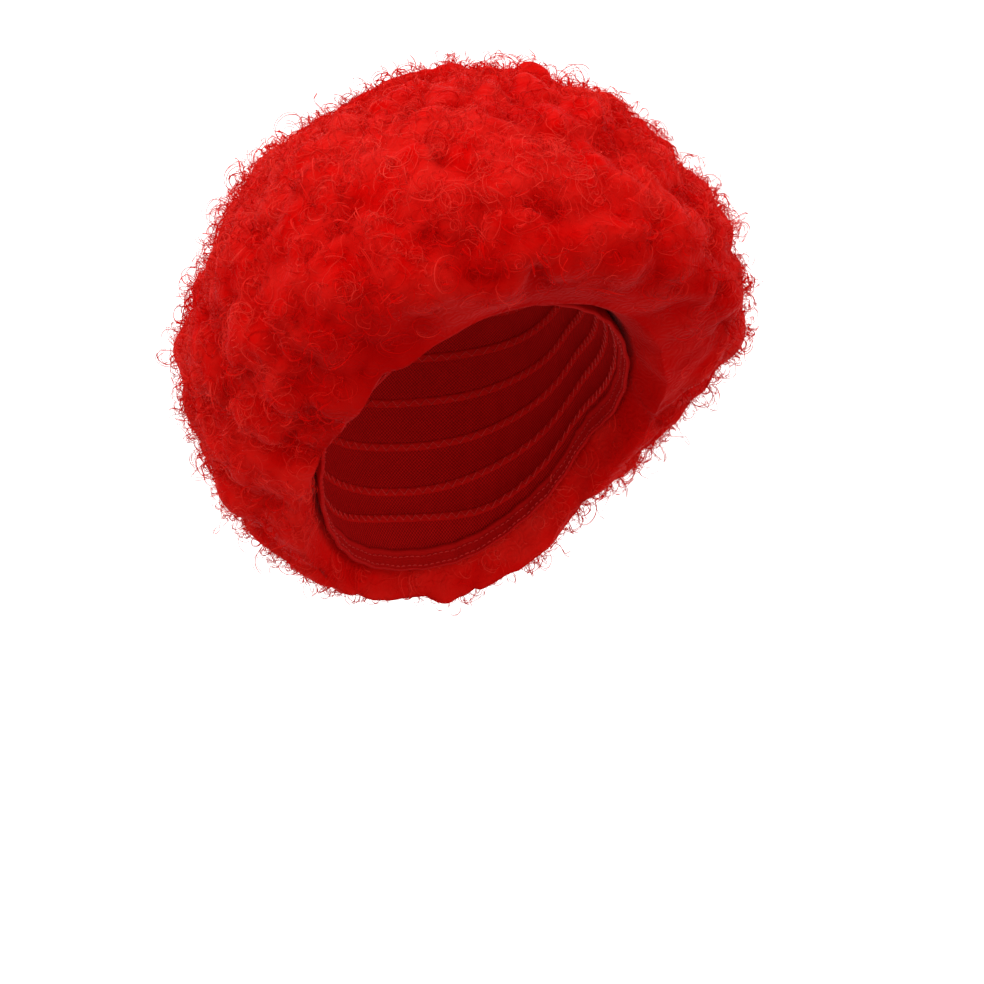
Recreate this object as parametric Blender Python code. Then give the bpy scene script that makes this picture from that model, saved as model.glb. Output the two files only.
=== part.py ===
"""A curly costume wig: a stretch net cap, its elastic hem, and hair wefts sewn on in closed rings.

Metres, +Z up. The origin is the inner crown of the cap, the face looks along -Y and the
wearer's left side is +X. The cap is shaped as a head holds it, with the hair standing out.
"""
import math
import random

import bmesh
import bpy

# The head that the cap is cut for.
HEAD_WIDTH = 0.154
HEAD_LENGTH = 0.194
CROWN_HEIGHT = 0.098
NAPE_TAPER = 0.150

# The cap and its hem.
CAP_DEPTH = 0.173
CAP_WALL = 0.0015
HEM_WIDTH = 0.009
HEM_THICKNESS = 0.0024
HEM_GAP = 0.0004
CAP_SECTIONS = 48
CAP_RINGS = 8

# How far the hair stands out from the head at the front, side, back and top.
FRONT_HAIR = 0.042
SIDE_HAIR = 0.067
BACK_HAIR = 0.065
TOP_HAIR = 0.088
HEM_FLARE = 0.006
NAPE_DROP = 0.024
# Shape numbers: how square the head is seen from above (2 is an ellipse), how soon the hair grows
# from its side to its end length, and how sloped its dome is (1 is a plain ellipse).
HEAD_SQUARENESS = 2.2
END_BLEND = 1.3
DOME_SLOPE = 1.07

# The wefts: a narrow sewn strip on the cap, from which each ring of hair fans out.
WEFT_STRIP = 0.0045
SEW_GAP = 0.0004
ROW_GAP = 0.0010
ROW_WAVE = 0.0030
FEWEST_WAVES = 3
WAVE_SHIFT = 2.1
TUFT_DEPTH = 0.0075
TUFT_JITTER = 0.0030
TUFT_SECTIONS = 4
TUFTS_PER_ROW = (20, 24, 27, 27, 26, 24, 21, 17, 12)
CROWN_TUFTS = 6
CROWN_LIFT = math.radians(10.0)
CROWN_SEAT = math.radians(7.0)
SEED = 11

# Round the head from the face (0) to the nape (180), the same on both sides:
# (azimuth in degrees, rim and widest level of the hair as shares of CAP_DEPTH below the crown,
#  fall of the hair below the rim as a share of NAPE_DROP).
AZIMUTH, RIM, WAIST, FALL = range(4)
ROUND_THE_HEAD = (
    (0, 0.220, 0.060, 0.00),
    (20, 0.240, 0.090, 0.00),
    (38, 0.295, 0.150, 0.02),
    (60, 0.410, 0.225, 0.10),
    (80, 0.520, 0.270, 0.45),
    (100, 0.600, 0.305, 0.95),
    (120, 0.780, 0.347, 0.95),
    (150, 0.954, 0.366, 1.00),
    (180, 1.000, 0.376, 0.90),
)

# Across one tuft: how deep each section sits, as a share of TUFT_DEPTH.
TUFT_PROFILE = (1.0, 0.25, 0.0, 0.25)
# Where the two shoulders of a tuft stand between the row's lower and upper edge.
LOW_SHOULDER, HIGH_SHOULDER = 0.22, 0.78
# How deep a row's upper and lower corners sit, as shares of TUFT_DEPTH.
CORNER_ON_PEAK, CORNER_IN_VALLEY = 0.8, 1.2
# The crown tuft's two outer rings: how near the top, and how much of a fold reaches there.
CROWN_RINGS = ((0.7, 0.4), (0.35, 1.0))
# The tuft's seat, as a share of the opening that the top row leaves on the cap.
CROWN_PATCH = 0.7

HAIR_RED = (0.50, 0.004, 0.003, 1.0)
CAP_RED = (0.16, 0.004, 0.006, 1.0)
HEM_RED = (0.24, 0.005, 0.006, 1.0)


def clear_scene():
    """Remove whatever the file holds, so that the script gives the same model each time."""
    for item in list(bpy.data.objects):
        bpy.data.objects.remove(item, do_unlink=True)


def fabric(name, colour, roughness):
    """A plain cloth or fibre material."""
    material = bpy.data.materials.new(name)
    material.use_nodes = True
    shader = material.node_tree.nodes["Principled BSDF"]
    shader.inputs["Base Color"].default_value = colour
    shader.inputs["Roughness"].default_value = roughness
    shader.inputs["Metallic"].default_value = 0.0
    return material


def add_object(name, bm, material):
    """Turn a bmesh into a named object with smooth shading."""
    mesh = bpy.data.meshes.new(name)
    bm.to_mesh(mesh)
    bm.free()
    mesh.materials.append(material)
    mesh.shade_smooth()
    mesh.set_sharp_from_angle(angle=math.radians(50))
    item = bpy.data.objects.new(name, mesh)
    bpy.context.scene.collection.objects.link(item)
    return item


def round_the_head(azimuth, column):
    """Read a column of ROUND_THE_HEAD at any azimuth (radians), as a smooth curve."""
    angle = abs((math.degrees(azimuth) + 180.0) % 360.0 - 180.0)
    rows = ROUND_THE_HEAD
    last = len(rows) - 1
    i = min(sum(row[AZIMUTH] <= angle for row in rows) - 1, last - 1)

    def slope(k):
        if k in (0, last):
            return 0.0
        rise = rows[k + 1][column] - rows[k - 1][column]
        return rise / (rows[k + 1][AZIMUTH] - rows[k - 1][AZIMUTH])

    span = rows[i + 1][AZIMUTH] - rows[i][AZIMUTH]
    t = (angle - rows[i][AZIMUTH]) / span
    low, high = rows[i][column], rows[i + 1][column]
    return (
        (1 + 2 * t) * (1 - t) ** 2 * low
        + t * (1 - t) ** 2 * span * slope(i)
        + t * t * (3 - 2 * t) * high
        - t * t * (1 - t) * span * slope(i + 1)
    )


def head_radius(azimuth):
    """The head's radius at its widest level, a slightly squared ellipse seen from above."""
    across = abs(math.sin(azimuth)) / (HEAD_WIDTH / 2)
    along = abs(math.cos(azimuth)) / (HEAD_LENGTH / 2)
    return (across**HEAD_SQUARENESS + along**HEAD_SQUARENESS) ** (-1 / HEAD_SQUARENESS)


def head_point(azimuth, turn, out=0.0):
    """(radius, height) on the head, `turn` radians down from the crown, moved `out` along the normal.

    The head is an ellipse above its widest level and tapers towards the nape below it.
    """
    wide = head_radius(azimuth)
    below = turn - math.pi / 2
    if below <= 0:
        r, z = wide * math.sin(turn), CROWN_HEIGHT * (math.cos(turn) - 1)
        dr, dz = wide * math.cos(turn), -CROWN_HEIGHT * math.sin(turn)
    else:
        fall = CROWN_HEIGHT * below
        r, z = wide * (1 - (fall / NAPE_TAPER) ** 2), -CROWN_HEIGHT - fall
        dr, dz = -2 * wide * fall / NAPE_TAPER**2 * CROWN_HEIGHT, -CROWN_HEIGHT
    size = math.hypot(dr, dz)
    return r - dz / size * out, z + dr / size * out


def turn_at_depth(depth):
    """The turn from the crown at which the head surface is `depth` below the crown."""
    if depth < CROWN_HEIGHT:
        return math.acos(1 - depth / CROWN_HEIGHT)
    return math.pi / 2 + (depth - CROWN_HEIGHT) / CROWN_HEIGHT


def turn_along(azimuth, turn, length):
    """The change of turn that covers a short length along the cap."""
    nudge = 0.01
    low, high = head_point(azimuth, turn), head_point(azimuth, turn - nudge)
    return length * nudge / math.dist(low, high)


def rim_turn(azimuth, up=0.0):
    """The turn of the cap's rim, or of a line `up` above it along the cap."""
    turn = turn_at_depth(CAP_DEPTH * round_the_head(azimuth, RIM))
    return turn - turn_along(azimuth, turn, up)


def place(azimuth, point):
    """Turn a (radius, height) pair at an azimuth into X, Y, Z."""
    return point[0] * math.sin(azimuth), -point[0] * math.cos(azimuth), point[1]


def mix(a, b, t):
    return a + (b - a) * t


def solidify(item, thickness):
    """Give a sheet its wall, outward from the head."""
    wall = item.modifiers.new("wall", "SOLIDIFY")
    wall.thickness = thickness
    wall.offset = 1.0
    wall.use_even_offset = True
    wall.use_quality_normals = True


def sheet(rings, top=None, bottom=None):
    """Join rings of points, top ring first, into a sheet that faces out; end points close it."""
    bm = bmesh.new()
    loops = [[bm.verts.new(point) for point in ring] for ring in rings]
    count = len(loops[0])
    for upper, lower in zip(loops, loops[1:]):
        for i in range(count):
            j = (i + 1) % count
            bm.faces.new((upper[i], lower[i], lower[j], upper[j]))
    for point, loop in ((top, loops[0]), (bottom, loops[-1][::-1])):
        if point:
            end = bm.verts.new(point)
            for i in range(count):
                bm.faces.new((end, loop[i], loop[(i + 1) % count]))
    return bm


def section_angles(count, shift=0.0):
    return [2 * math.pi * (i + shift) / count for i in range(count)]


def build_cap(material):
    """The net cap, from just above the hem to the crown."""
    angles = section_angles(CAP_SECTIONS)
    low = [rim_turn(a, HEM_WIDTH + HEM_GAP) for a in angles]
    rings = []
    for ring in range(1, CAP_RINGS + 1):
        turns = [turn * ring / CAP_RINGS for turn in low]
        rings.append([place(a, head_point(a, t)) for a, t in zip(angles, turns)])
    solidify(add_object("cap_net", sheet(rings, top=(0, 0, 0)), material), CAP_WALL)


def build_hem(material):
    """The elastic hem, a turned strip that runs along the rim in line with the cap."""
    angles = section_angles(CAP_SECTIONS)
    rings = []
    for share in (1.0, 0.5, 0.0):
        turns = [rim_turn(a, HEM_WIDTH * share) for a in angles]
        rings.append([place(a, head_point(a, t)) for a, t in zip(angles, turns)])
    solidify(add_object("elastic_hem", sheet(rings), material), HEM_THICKNESS)


def hair_reach(azimuth):
    """How far the hair reaches from the head's axis at its widest level."""
    forward = math.cos(azimuth)
    end_hair = FRONT_HAIR if forward > 0 else BACK_HAIR
    side, end = HEAD_WIDTH / 2 + SIDE_HAIR, HEAD_LENGTH / 2 + end_hair
    return mix(side, end, abs(forward) ** END_BLEND)


def hair_outline(azimuth):
    """Reach, widest level, and lowest lift with the upper and lower heights of the hair's outline."""
    reach = hair_reach(azimuth)
    waist = -CAP_DEPTH * round_the_head(azimuth, WAIST)
    rim_r, rim_z = head_point(azimuth, rim_turn(azimuth), HEM_THICKNESS)
    start_r = rim_r + HEM_FLARE
    start_z = rim_z - NAPE_DROP * round_the_head(azimuth, FALL)
    lowest = -math.acos(start_r / reach)
    return reach, waist, lowest, TOP_HAIR - waist, (start_z - waist) / math.sin(lowest)


def hair_point(azimuth, lift):
    """(radius, height) of the hair's outline at a lift angle: 0 is its widest level, 90 degrees its top."""
    reach, waist, _, upper, lower = hair_outline(azimuth)
    if lift < 0:
        return reach * math.cos(lift), waist + lower * math.sin(lift)
    return reach * math.cos(lift) ** DOME_SLOPE, waist + upper * math.sin(lift) ** DOME_SLOPE


def row_edge(azimuth, edge):
    """Cap turn and outline lift of the border below row `edge`, counted from the rim."""
    rows = len(TUFTS_PER_ROW)
    share = edge / rows
    lowest = hair_outline(azimuth)[2]
    start = rim_turn(azimuth, HEM_WIDTH + HEM_GAP)
    waves_round = FEWEST_WAVES + edge % 3
    wave = math.sin(waves_round * azimuth + WAVE_SHIFT * edge)
    sway = 4 * share * (1 - share) * ROW_WAVE / hair_reach(azimuth)
    lift = mix(lowest, math.pi / 2 - CROWN_LIFT, share) + sway * wave
    return mix(start, CROWN_SEAT, share), lift


def edge_corner(azimuth, edge, depth, side):
    """A row's corner on the border `edge`, `depth` inside the outline and half a gap to one side."""
    turn, lift = row_edge(azimuth, edge)
    seat = head_point(azimuth, turn, CAP_WALL + SEW_GAP)
    tip = hair_point(azimuth, lift)
    reach = math.dist(seat, tip)
    ur, uz = (tip[0] - seat[0]) / reach, (tip[1] - seat[1]) / reach
    r, z = tip[0] - ur * depth, tip[1] - uz * depth
    return r - uz * side * ROW_GAP / 2, z + ur * side * ROW_GAP / 2


def shoulder(azimuth, row, share, depth):
    """A point on a row's outer face, `depth` inside the outline, towards the cap."""
    low_turn, low_lift = row_edge(azimuth, row)
    high_turn, high_lift = row_edge(azimuth, row + 1)
    seat = head_point(azimuth, mix(low_turn, high_turn, share), CAP_WALL + SEW_GAP)
    tip = hair_point(azimuth, mix(low_lift, high_lift, share))
    back = depth / math.dist(seat, tip)
    return mix(tip[0], seat[0], back), mix(tip[1], seat[1], back)


def weft_section(azimuth, row, dip, swell):
    """The six corners of a row in the upright plane at an azimuth, from its strip outward."""
    low_turn = row_edge(azimuth, row)[0]
    high_turn = row_edge(azimuth, row + 1)[0]
    middle = mix(low_turn, high_turn, 0.5)
    half = turn_along(azimuth, middle, WEFT_STRIP / 2)
    seat = CAP_WALL + SEW_GAP
    corner_depth = TUFT_DEPTH * mix(CORNER_ON_PEAK, CORNER_IN_VALLEY, dip)
    face_depth = TUFT_DEPTH * dip - swell
    return (
        head_point(azimuth, middle - half, seat),
        head_point(azimuth, middle + half, seat),
        edge_corner(azimuth, row, corner_depth, 1),
        shoulder(azimuth, row, LOW_SHOULDER, face_depth),
        shoulder(azimuth, row, HIGH_SHOULDER, face_depth),
        edge_corner(azimuth, row + 1, corner_depth, -1),
    )


def build_weft_row(row, tufts, rng, material):
    """One closed ring of hair: a strip on the cap that fans out to rounded tufts."""
    angles = section_angles(tufts * TUFT_SECTIONS, rng.random() * TUFT_SECTIONS)
    swells = [rng.uniform(-1, 1) * TUFT_JITTER for _ in range(tufts)]
    bm = bmesh.new()
    loops = []
    for i, azimuth in enumerate(angles):
        dip = TUFT_PROFILE[i % TUFT_SECTIONS]
        swell = swells[i // TUFT_SECTIONS] * (1 - dip)
        points = weft_section(azimuth, row, dip, swell)
        loops.append([bm.verts.new(place(azimuth, point)) for point in points])
    for i, loop in enumerate(loops):
        after = loops[(i + 1) % len(loops)]
        for k in range(len(loop)):
            m = (k + 1) % len(loop)
            bm.faces.new((loop[m], loop[k], after[k], after[m]))
    add_object(f"weft_row_{row + 1}", bm, material)


def build_crown_tuft(rng, material):
    """The tuft that closes the top, on a round seat at the crown."""
    rows = len(TUFTS_PER_ROW)
    seat_out = CAP_WALL + SEW_GAP
    swells = [rng.uniform(0, 1) * TUFT_JITTER for _ in range(CROWN_TUFTS)]
    rings = [[], [], [], []]
    for i, azimuth in enumerate(section_angles(CROWN_TUFTS * TUFT_SECTIONS)):
        dip = TUFT_PROFILE[i % TUFT_SECTIONS]
        swell = swells[i // TUFT_SECTIONS] * (1 - dip)
        lift = row_edge(azimuth, rows)[1]
        for ring, (share, fold) in zip(rings, CROWN_RINGS):
            r, z = hair_point(azimuth, mix(lift, math.pi / 2, share))
            ring.append(place(azimuth, (r, z + swell - TUFT_DEPTH * dip * fold)))
        rings[2].append(place(azimuth, edge_corner(azimuth, rows, TUFT_DEPTH, 1)))
        rings[3].append(place(azimuth, head_point(azimuth, CROWN_SEAT * CROWN_PATCH, seat_out)))
    tuft = sheet(rings, top=(0, 0, TOP_HAIR), bottom=(0, 0, seat_out))
    add_object("crown_tuft", tuft, material)


def main():
    clear_scene()
    hair = fabric("curly_fibre", HAIR_RED, 0.62)
    build_cap(fabric("net", CAP_RED, 0.85))
    build_hem(fabric("elastic", HEM_RED, 0.75))
    rng = random.Random(SEED)
    for row, tufts in enumerate(TUFTS_PER_ROW):
        build_weft_row(row, tufts, rng, hair)
    build_crown_tuft(rng, hair)


main()
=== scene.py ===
# %% [markdown]
# # A curly wig
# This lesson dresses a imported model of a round, curly costume wig. The model gives the true sizes:
# a net cap, an elastic hem, nine closed rings of hair and a crown tuft. The looks come here.
# The hair is made in three layers, as the eye reads it: a dense body that carries the big tufts
# and the small puffs, thousands of fine curls laid over it, and loose frizz that breaks the outline.
# First comes the fixed frame. Every later size is read from it, so the looks follow the model.

# %% Load the frame
import math

import bpy
import numpy as np
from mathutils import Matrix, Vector
from mathutils.bvhtree import BVHTree
from mathutils.kdtree import KDTree


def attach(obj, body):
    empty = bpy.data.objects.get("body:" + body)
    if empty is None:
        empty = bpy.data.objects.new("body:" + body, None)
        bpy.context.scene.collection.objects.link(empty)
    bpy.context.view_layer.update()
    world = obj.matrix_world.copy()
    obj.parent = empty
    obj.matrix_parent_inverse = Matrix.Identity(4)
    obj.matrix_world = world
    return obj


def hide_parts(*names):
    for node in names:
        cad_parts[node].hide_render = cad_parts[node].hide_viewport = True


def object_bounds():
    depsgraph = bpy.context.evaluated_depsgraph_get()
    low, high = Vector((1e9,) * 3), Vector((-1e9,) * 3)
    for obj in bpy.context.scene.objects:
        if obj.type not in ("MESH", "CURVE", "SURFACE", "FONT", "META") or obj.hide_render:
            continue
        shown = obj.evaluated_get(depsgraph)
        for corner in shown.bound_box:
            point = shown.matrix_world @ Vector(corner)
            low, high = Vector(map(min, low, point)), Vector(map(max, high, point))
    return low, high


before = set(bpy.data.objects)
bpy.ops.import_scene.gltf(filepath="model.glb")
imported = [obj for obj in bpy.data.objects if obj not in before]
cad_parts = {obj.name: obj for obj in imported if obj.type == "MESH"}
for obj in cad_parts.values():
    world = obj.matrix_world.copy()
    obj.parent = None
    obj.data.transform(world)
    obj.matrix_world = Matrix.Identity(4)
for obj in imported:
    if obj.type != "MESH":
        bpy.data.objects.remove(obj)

cad_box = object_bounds()
low_corner, high_corner = (np.array(corner) for corner in cad_box)
print("CAD box in mm:", np.round((high_corner - low_corner) * 1000, 1))

# %% [markdown]
# ## Camera
# The wig is seen from the front right, level with the wearer's chin. A long lens keeps the
# round shape free of distortion, as in a product photograph.

# %% Place the camera
CAMERA_AZIMUTH = math.radians(-30.0)
CAMERA_DISTANCE = 1.8
CAMERA_LEVEL = -0.1314
CAMERA_SIDE = 0.0099
LENS = 126.4

back = Vector((math.sin(CAMERA_AZIMUTH), -math.cos(CAMERA_AZIMUTH), 0.0))
right = Vector((math.cos(CAMERA_AZIMUTH), math.sin(CAMERA_AZIMUTH), 0.0))
camera = bpy.data.objects.new("camera", bpy.data.cameras.new("camera"))
camera.data.lens = LENS
camera.location = back * CAMERA_DISTANCE + right * CAMERA_SIDE + Vector((0, 0, CAMERA_LEVEL))
camera.rotation_euler = (-back).to_track_quat("-Z", "Y").to_euler()
bpy.context.scene.collection.objects.link(camera)
bpy.context.scene.camera = camera
print("camera at", [round(v, 3) for v in camera.location])

# %% [markdown]
# ## The white ground
# A pale sweep, flat below and curved up behind, leaves no horizon line. It could be a plane and
# a wall, but their corner would show.

# %% Make the sweep
FLOOR_LEVEL = -0.37
SWEEP_WIDTH = 9.0
SWEEP_PROFILE = ((-4.0, 0.0), (2.2, 0.0), (2.9, 0.12), (3.4, 0.5), (3.6, 1.2), (3.6, 4.5))
SWEEP_SMOOTHING = 3
PAPER_WHITE, PAPER_ROUGHNESS, PAPER_GLOW = (0.93, 0.93, 0.93, 1.0), 0.9, 0.5
WHITE, BLACK = (1.0, 1.0, 1.0, 1.0), (0.0, 0.0, 0.0, 1.0)
PLAIN_GLOSS = 0.2


def new_material(name, roughness, gloss, gloss_tint=WHITE):
    """A material with its shader, rough and glossy to the given amounts."""
    material = bpy.data.materials.new(name)
    material.use_nodes = True
    shader = material.node_tree.nodes["Principled BSDF"]
    shader.inputs["Roughness"].default_value = roughness
    shader.inputs["Specular IOR Level"].default_value = gloss
    shader.inputs["Specular Tint"].default_value = gloss_tint
    return material, shader


def white_ground(name, points, faces, colour, roughness, glow):
    """A sheet of the stage that glows white."""
    mesh = bpy.data.meshes.new(name)
    mesh.from_pydata(points, [], faces)
    sheet = bpy.data.objects.new(name, mesh)
    bpy.context.scene.collection.objects.link(sheet)
    material, shader = new_material(name, roughness, PLAIN_GLOSS)
    shader.inputs["Base Color"].default_value = colour
    shader.inputs["Emission Color"].default_value = WHITE
    shader.inputs["Emission Strength"].default_value = glow
    mesh.materials.append(material)
    sheet.visible_diffuse = False
    return sheet, material


def make_sweep():
    """One sheet behind and under the wig, turned to face the camera."""
    points, faces = [], []
    for depth, rise in SWEEP_PROFILE:
        for side in (-0.5, 0.5):
            spot = -back * depth + right * side * SWEEP_WIDTH
            points.append((spot.x, spot.y, FLOOR_LEVEL + rise))
    for k in range(len(SWEEP_PROFILE) - 1):
        faces.append((2 * k, 2 * k + 1, 2 * k + 3, 2 * k + 2))
    sweep, _ = white_ground("sweep", points, faces, PAPER_WHITE, PAPER_ROUGHNESS, PAPER_GLOW)
    sweep.data.shade_smooth()
    rounding = sweep.modifiers.new("rounding", "SUBSURF")
    rounding.levels = rounding.render_levels = SWEEP_SMOOTHING
    return sweep


sweep = make_sweep()
print("sweep:", len(sweep.data.polygons), "faces before smoothing")

# %% [markdown]
# ## The far white
# The sweep is made for the view of the photograph. Seen from the side or from behind, it would
# end in a grey horizon, so a white floor and wall stand far out all round. They are hidden from
# every kind of ray but the camera's, and so they don't change the light.

# %% Make the far white
FAR_RADIUS, FAR_RISE, FAR_STEPS = 6.5, 8.0, 48
FAR_SINK = 0.01


def make_far_white():
    """A white floor and wall far out all round. Only the camera sees them, so they give no light."""
    points = [(0.0, 0.0, FLOOR_LEVEL - FAR_SINK)]
    for rise in (-FAR_SINK, FAR_RISE):
        for k in range(FAR_STEPS):
            angle = 2 * math.pi * k / FAR_STEPS
            x, y = FAR_RADIUS * math.cos(angle), FAR_RADIUS * math.sin(angle)
            points.append((x, y, FLOOR_LEVEL + rise))
    faces = []
    for k in range(FAR_STEPS):
        a, b = 1 + k, 1 + (k + 1) % FAR_STEPS
        faces.append((0, a, b))
        faces.append((a, a + FAR_STEPS, b + FAR_STEPS, b))
    far_white, material = white_ground("far_white", points, faces, BLACK, 1.0, 1.0)
    material.cycles.emission_sampling = "NONE"
    for kind in ("visible_glossy", "visible_transmission", "visible_shadow"):
        setattr(far_white, kind, False)
    return far_white


far_white = make_far_white()
print("far white:", len(far_white.data.polygons), "faces")

# %% [markdown]
# ## Lamps
# Saturated hair turns to flat blobs under hard light, so large soft boxes light it from the left,
# the right and above, and a bright surround lets the red bounce into the valleys. Two more light
# the backdrop. A single sky light would be simpler, but it would leave no brighter side.

# %% Hang the lamps
# Each lamp: name, steps to the camera's right, towards the camera and up, size, power, all in metres
# and watts.
LAMPS = (
    ("key", -1.4, 1.4, 1.2, 1.5, 20.0),
    ("fill", 1.7, 1.2, 0.25, 1.6, 9.0),
    ("top", 0.1, 0.1, 1.9, 1.6, 16.6),
    ("backdrop_left", -1.8, -1.6, 0.9, 1.4, 20.0),
    ("backdrop_right", 1.8, -1.6, 0.9, 1.4, 20.0),
)
AIM = Vector((0.0, 0.0, -0.06))
BACKDROP_AIM = -back * 3.0
SURROUND = 0.62


def hang_lamp(name, side, near, rise, size, power):
    """A square soft box aimed at the hair, or at the backdrop behind it."""
    data = bpy.data.lights.new(name, "AREA")
    data.size = size
    data.energy = power
    lamp = bpy.data.objects.new(name, data)
    lamp.location = right * side + back * near + Vector((0, 0, rise))
    goal = BACKDROP_AIM if name.startswith("backdrop") else AIM
    lamp.rotation_euler = (goal - lamp.location).to_track_quat("-Z", "Y").to_euler()
    bpy.context.scene.collection.objects.link(lamp)
    return lamp


lamps = [hang_lamp(*row) for row in LAMPS]
world = bpy.data.worlds.new("surround")
world.use_nodes = True
world.node_tree.nodes["Background"].inputs["Color"].default_value = WHITE
world.node_tree.nodes["Background"].inputs["Strength"].default_value = SURROUND
bpy.context.scene.world = world
bpy.context.scene.view_settings.view_transform = "Standard"
print("lamps:", len(lamps))

# %% [markdown]
# ## The outline of the hair
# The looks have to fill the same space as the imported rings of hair. Their outline is read by rays
# cast from outside towards the heart of the wig, one for each step round the head and each step
# from the crown down to the last hair. A scan like this works for any shape whose outside can all
# be seen from one inner point, and it gives an even grid that is easy to model on.

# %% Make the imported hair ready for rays
HEART = Vector((0.0, 0.0, -0.020))
FAR = 0.35
hair_nodes = sorted(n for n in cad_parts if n.startswith("weft_row_")) + ["crown_tuft"]


def tree_of(names):
    """A search tree over CAD nodes, and the place in `names` that each face belongs to."""
    points, faces, owner = [], [], []
    for place, name in enumerate(names):
        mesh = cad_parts[name].data
        start = len(points)
        points += [vertex.co.copy() for vertex in mesh.vertices]
        faces += [[start + i for i in face.vertices] for face in mesh.polygons]
        owner += [place] * len(mesh.polygons)
    return BVHTree.FromPolygons(points, faces), owner


def towards(turn, azimuth):
    """The direction `turn` down from the crown, at an azimuth that is 0 over the face."""
    flat = math.sin(turn)
    return Vector((flat * math.sin(azimuth), -flat * math.cos(azimuth), math.cos(turn)))


hair_tree, hair_owner = tree_of(hair_nodes)
print("packed hair:", len(hair_nodes), "nodes with", len(hair_owner), "faces")

# %% [markdown]
# ## Where the hair ends
# The lowest turn with hair differs round the head, as the hairline rises over the face. Halving
# the span between a turn that surely meets hair and one that doesn't finds it in a few steps.

# %% Find where the hair ends
COLUMNS = 352
SURE_TURN, NO_TURN = math.radians(60), math.radians(176)
HALVINGS = 14
LAST_BLUR = 24


def scan(turn, azimuth):
    """How far the hair reaches from its heart, and the ring of hair met there."""
    way = towards(turn, azimuth)
    hit, _, face, distance = hair_tree.ray_cast(HEART + way * FAR, -way, FAR)
    return (math.nan, -1) if hit is None else (FAR - distance, hair_owner[face])


def edge_turn(meets, inside, outside):
    """The last turn, on the way from inside to outside, at which something is still met."""
    for _ in range(HALVINGS):
        middle = (inside + outside) / 2
        if meets(middle):
            inside = middle
        else:
            outside = middle
    return inside


def last_turn(azimuth):
    """The lowest turn at which there is still hair."""
    return edge_turn(lambda turn: scan(turn, azimuth)[1] >= 0, SURE_TURN, NO_TURN)


def blur_round(values, passes):
    """Even out a ring of values."""
    for _ in range(passes):
        values = (np.roll(values, 1, -1) + 2 * values + np.roll(values, -1, -1)) / 4
    return values


azimuths = np.arange(COLUMNS) * 2 * math.pi / COLUMNS
last_turns = blur_round(np.array([last_turn(a) for a in azimuths]), LAST_BLUR)
ends = np.round(np.degrees([last_turns[0], last_turns.max()]))
print("the hair ends at turns", ends, "over the face and at its lowest")

# %% [markdown]
# ## One grid of rays
# Every column of rays goes from the crown to its own last hair in the same number of steps, so
# the last ring of the grid is the edge of the hair.

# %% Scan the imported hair
RINGS = 138
SURE_SHARE = 0.998
shares = (np.arange(RINGS) + 1.0) / RINGS
turns = shares[:, None] * last_turns[None, :]
found = [
    [scan(min(t, last * SURE_SHARE), a) for t, last, a in zip(row, last_turns, azimuths)]
    for row in turns
]
reach = np.array([[cell[0] for cell in row] for row in found])
ring_of = np.array([[cell[1] for cell in row] for row in found])
print("scanned", reach.size, "points, missed", int(np.isnan(reach).sum()))

# %% [markdown]
# ## A smooth outline
# Real hair closes over the gaps between its sewn rows, so each dip is lifted to its neighbours and
# the grid is evened out. At the hairline the hair falls over the hem, a little at the forehead and
# more at the temples, which leaves one clean line. Pulling the grid's last rings down gives that.

# %% Close the gaps between the rings of hair
GAP_DROP = 0.0015
GAP_PASSES = 3
OUTLINE_BLUR, EDGE_BLUR = 5, 80
EVEN_RINGS = 11
TEMPLE, TEMPLE_SPREAD = math.radians(60), math.radians(44)
TEMPLE_DROP, FOREHEAD_DROP = 0.0082, 0.0018
FOREHEAD = (-0.1, 0.5)


def ease(t):
    """A smooth step from 0 to 1."""
    t = np.clip(t, 0.0, 1.0)
    return t * t * (3 - 2 * t)


def blur_down(values, passes):
    """Even out a grid of values from ring to ring."""
    for _ in range(passes):
        above = np.concatenate((values[:1], values[:-1]))
        below = np.concatenate((values[1:], values[-1:]))
        values = (above + 2 * values + below) / 4
    return values


def neighbours(values):
    """For each cell of a grid: the values above, below and beside it, and its own."""
    up = np.concatenate((values[:1], values[:-1]))
    down = np.concatenate((values[1:], values[-1:]))
    return np.stack((up, down, np.roll(values, 1, 1), np.roll(values, -1, 1), values))


def over_front(start, width):
    """A factor for each azimuth that eases from 0 at the sides or back to 1 over the face."""
    return ease((np.cos(azimuths) - start) / width)


for _ in range(GAP_PASSES):
    around = np.nanmax(neighbours(reach), axis=0)
    shallow = np.isnan(reach) | (reach < around - GAP_DROP)
    reach = np.where(shallow, around, reach)
    ring_of = np.where(ring_of < 0, neighbours(ring_of).max(axis=0), ring_of)
reach = blur_down(blur_round(reach, OUTLINE_BLUR), OUTLINE_BLUR)
near_edge = np.clip(1 - (RINGS - 1 - np.arange(RINGS)) / EVEN_RINGS, 0, 1)[:, None]
reach = reach * (1 - near_edge) + blur_round(reach, EDGE_BLUR) * near_edge
ways = np.stack(
    (
        np.sin(turns) * np.sin(azimuths),
        -np.sin(turns) * np.cos(azimuths),
        np.cos(turns),
    ),
    axis=-1,
)
outline = np.array(HEART) + ways * reach[..., None]
from_face = np.minimum(azimuths, 2 * math.pi - azimuths)
over_temples = ease(1 - np.abs(from_face - TEMPLE) / TEMPLE_SPREAD)
drop = TEMPLE_DROP * over_temples + FOREHEAD_DROP * over_front(*FOREHEAD)
outline[..., 2] -= ease(near_edge) * drop
print("outline in mm:", np.round((outline.max((0, 1)) - outline.min((0, 1))) * 1000, 1))

# %% [markdown]
# ## The hem line
# The hair ends just outside the elastic hem. The hem's own vertices stand in upright planes round
# the head, so its edges can be read plane by plane and then at any azimuth between them.

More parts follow.
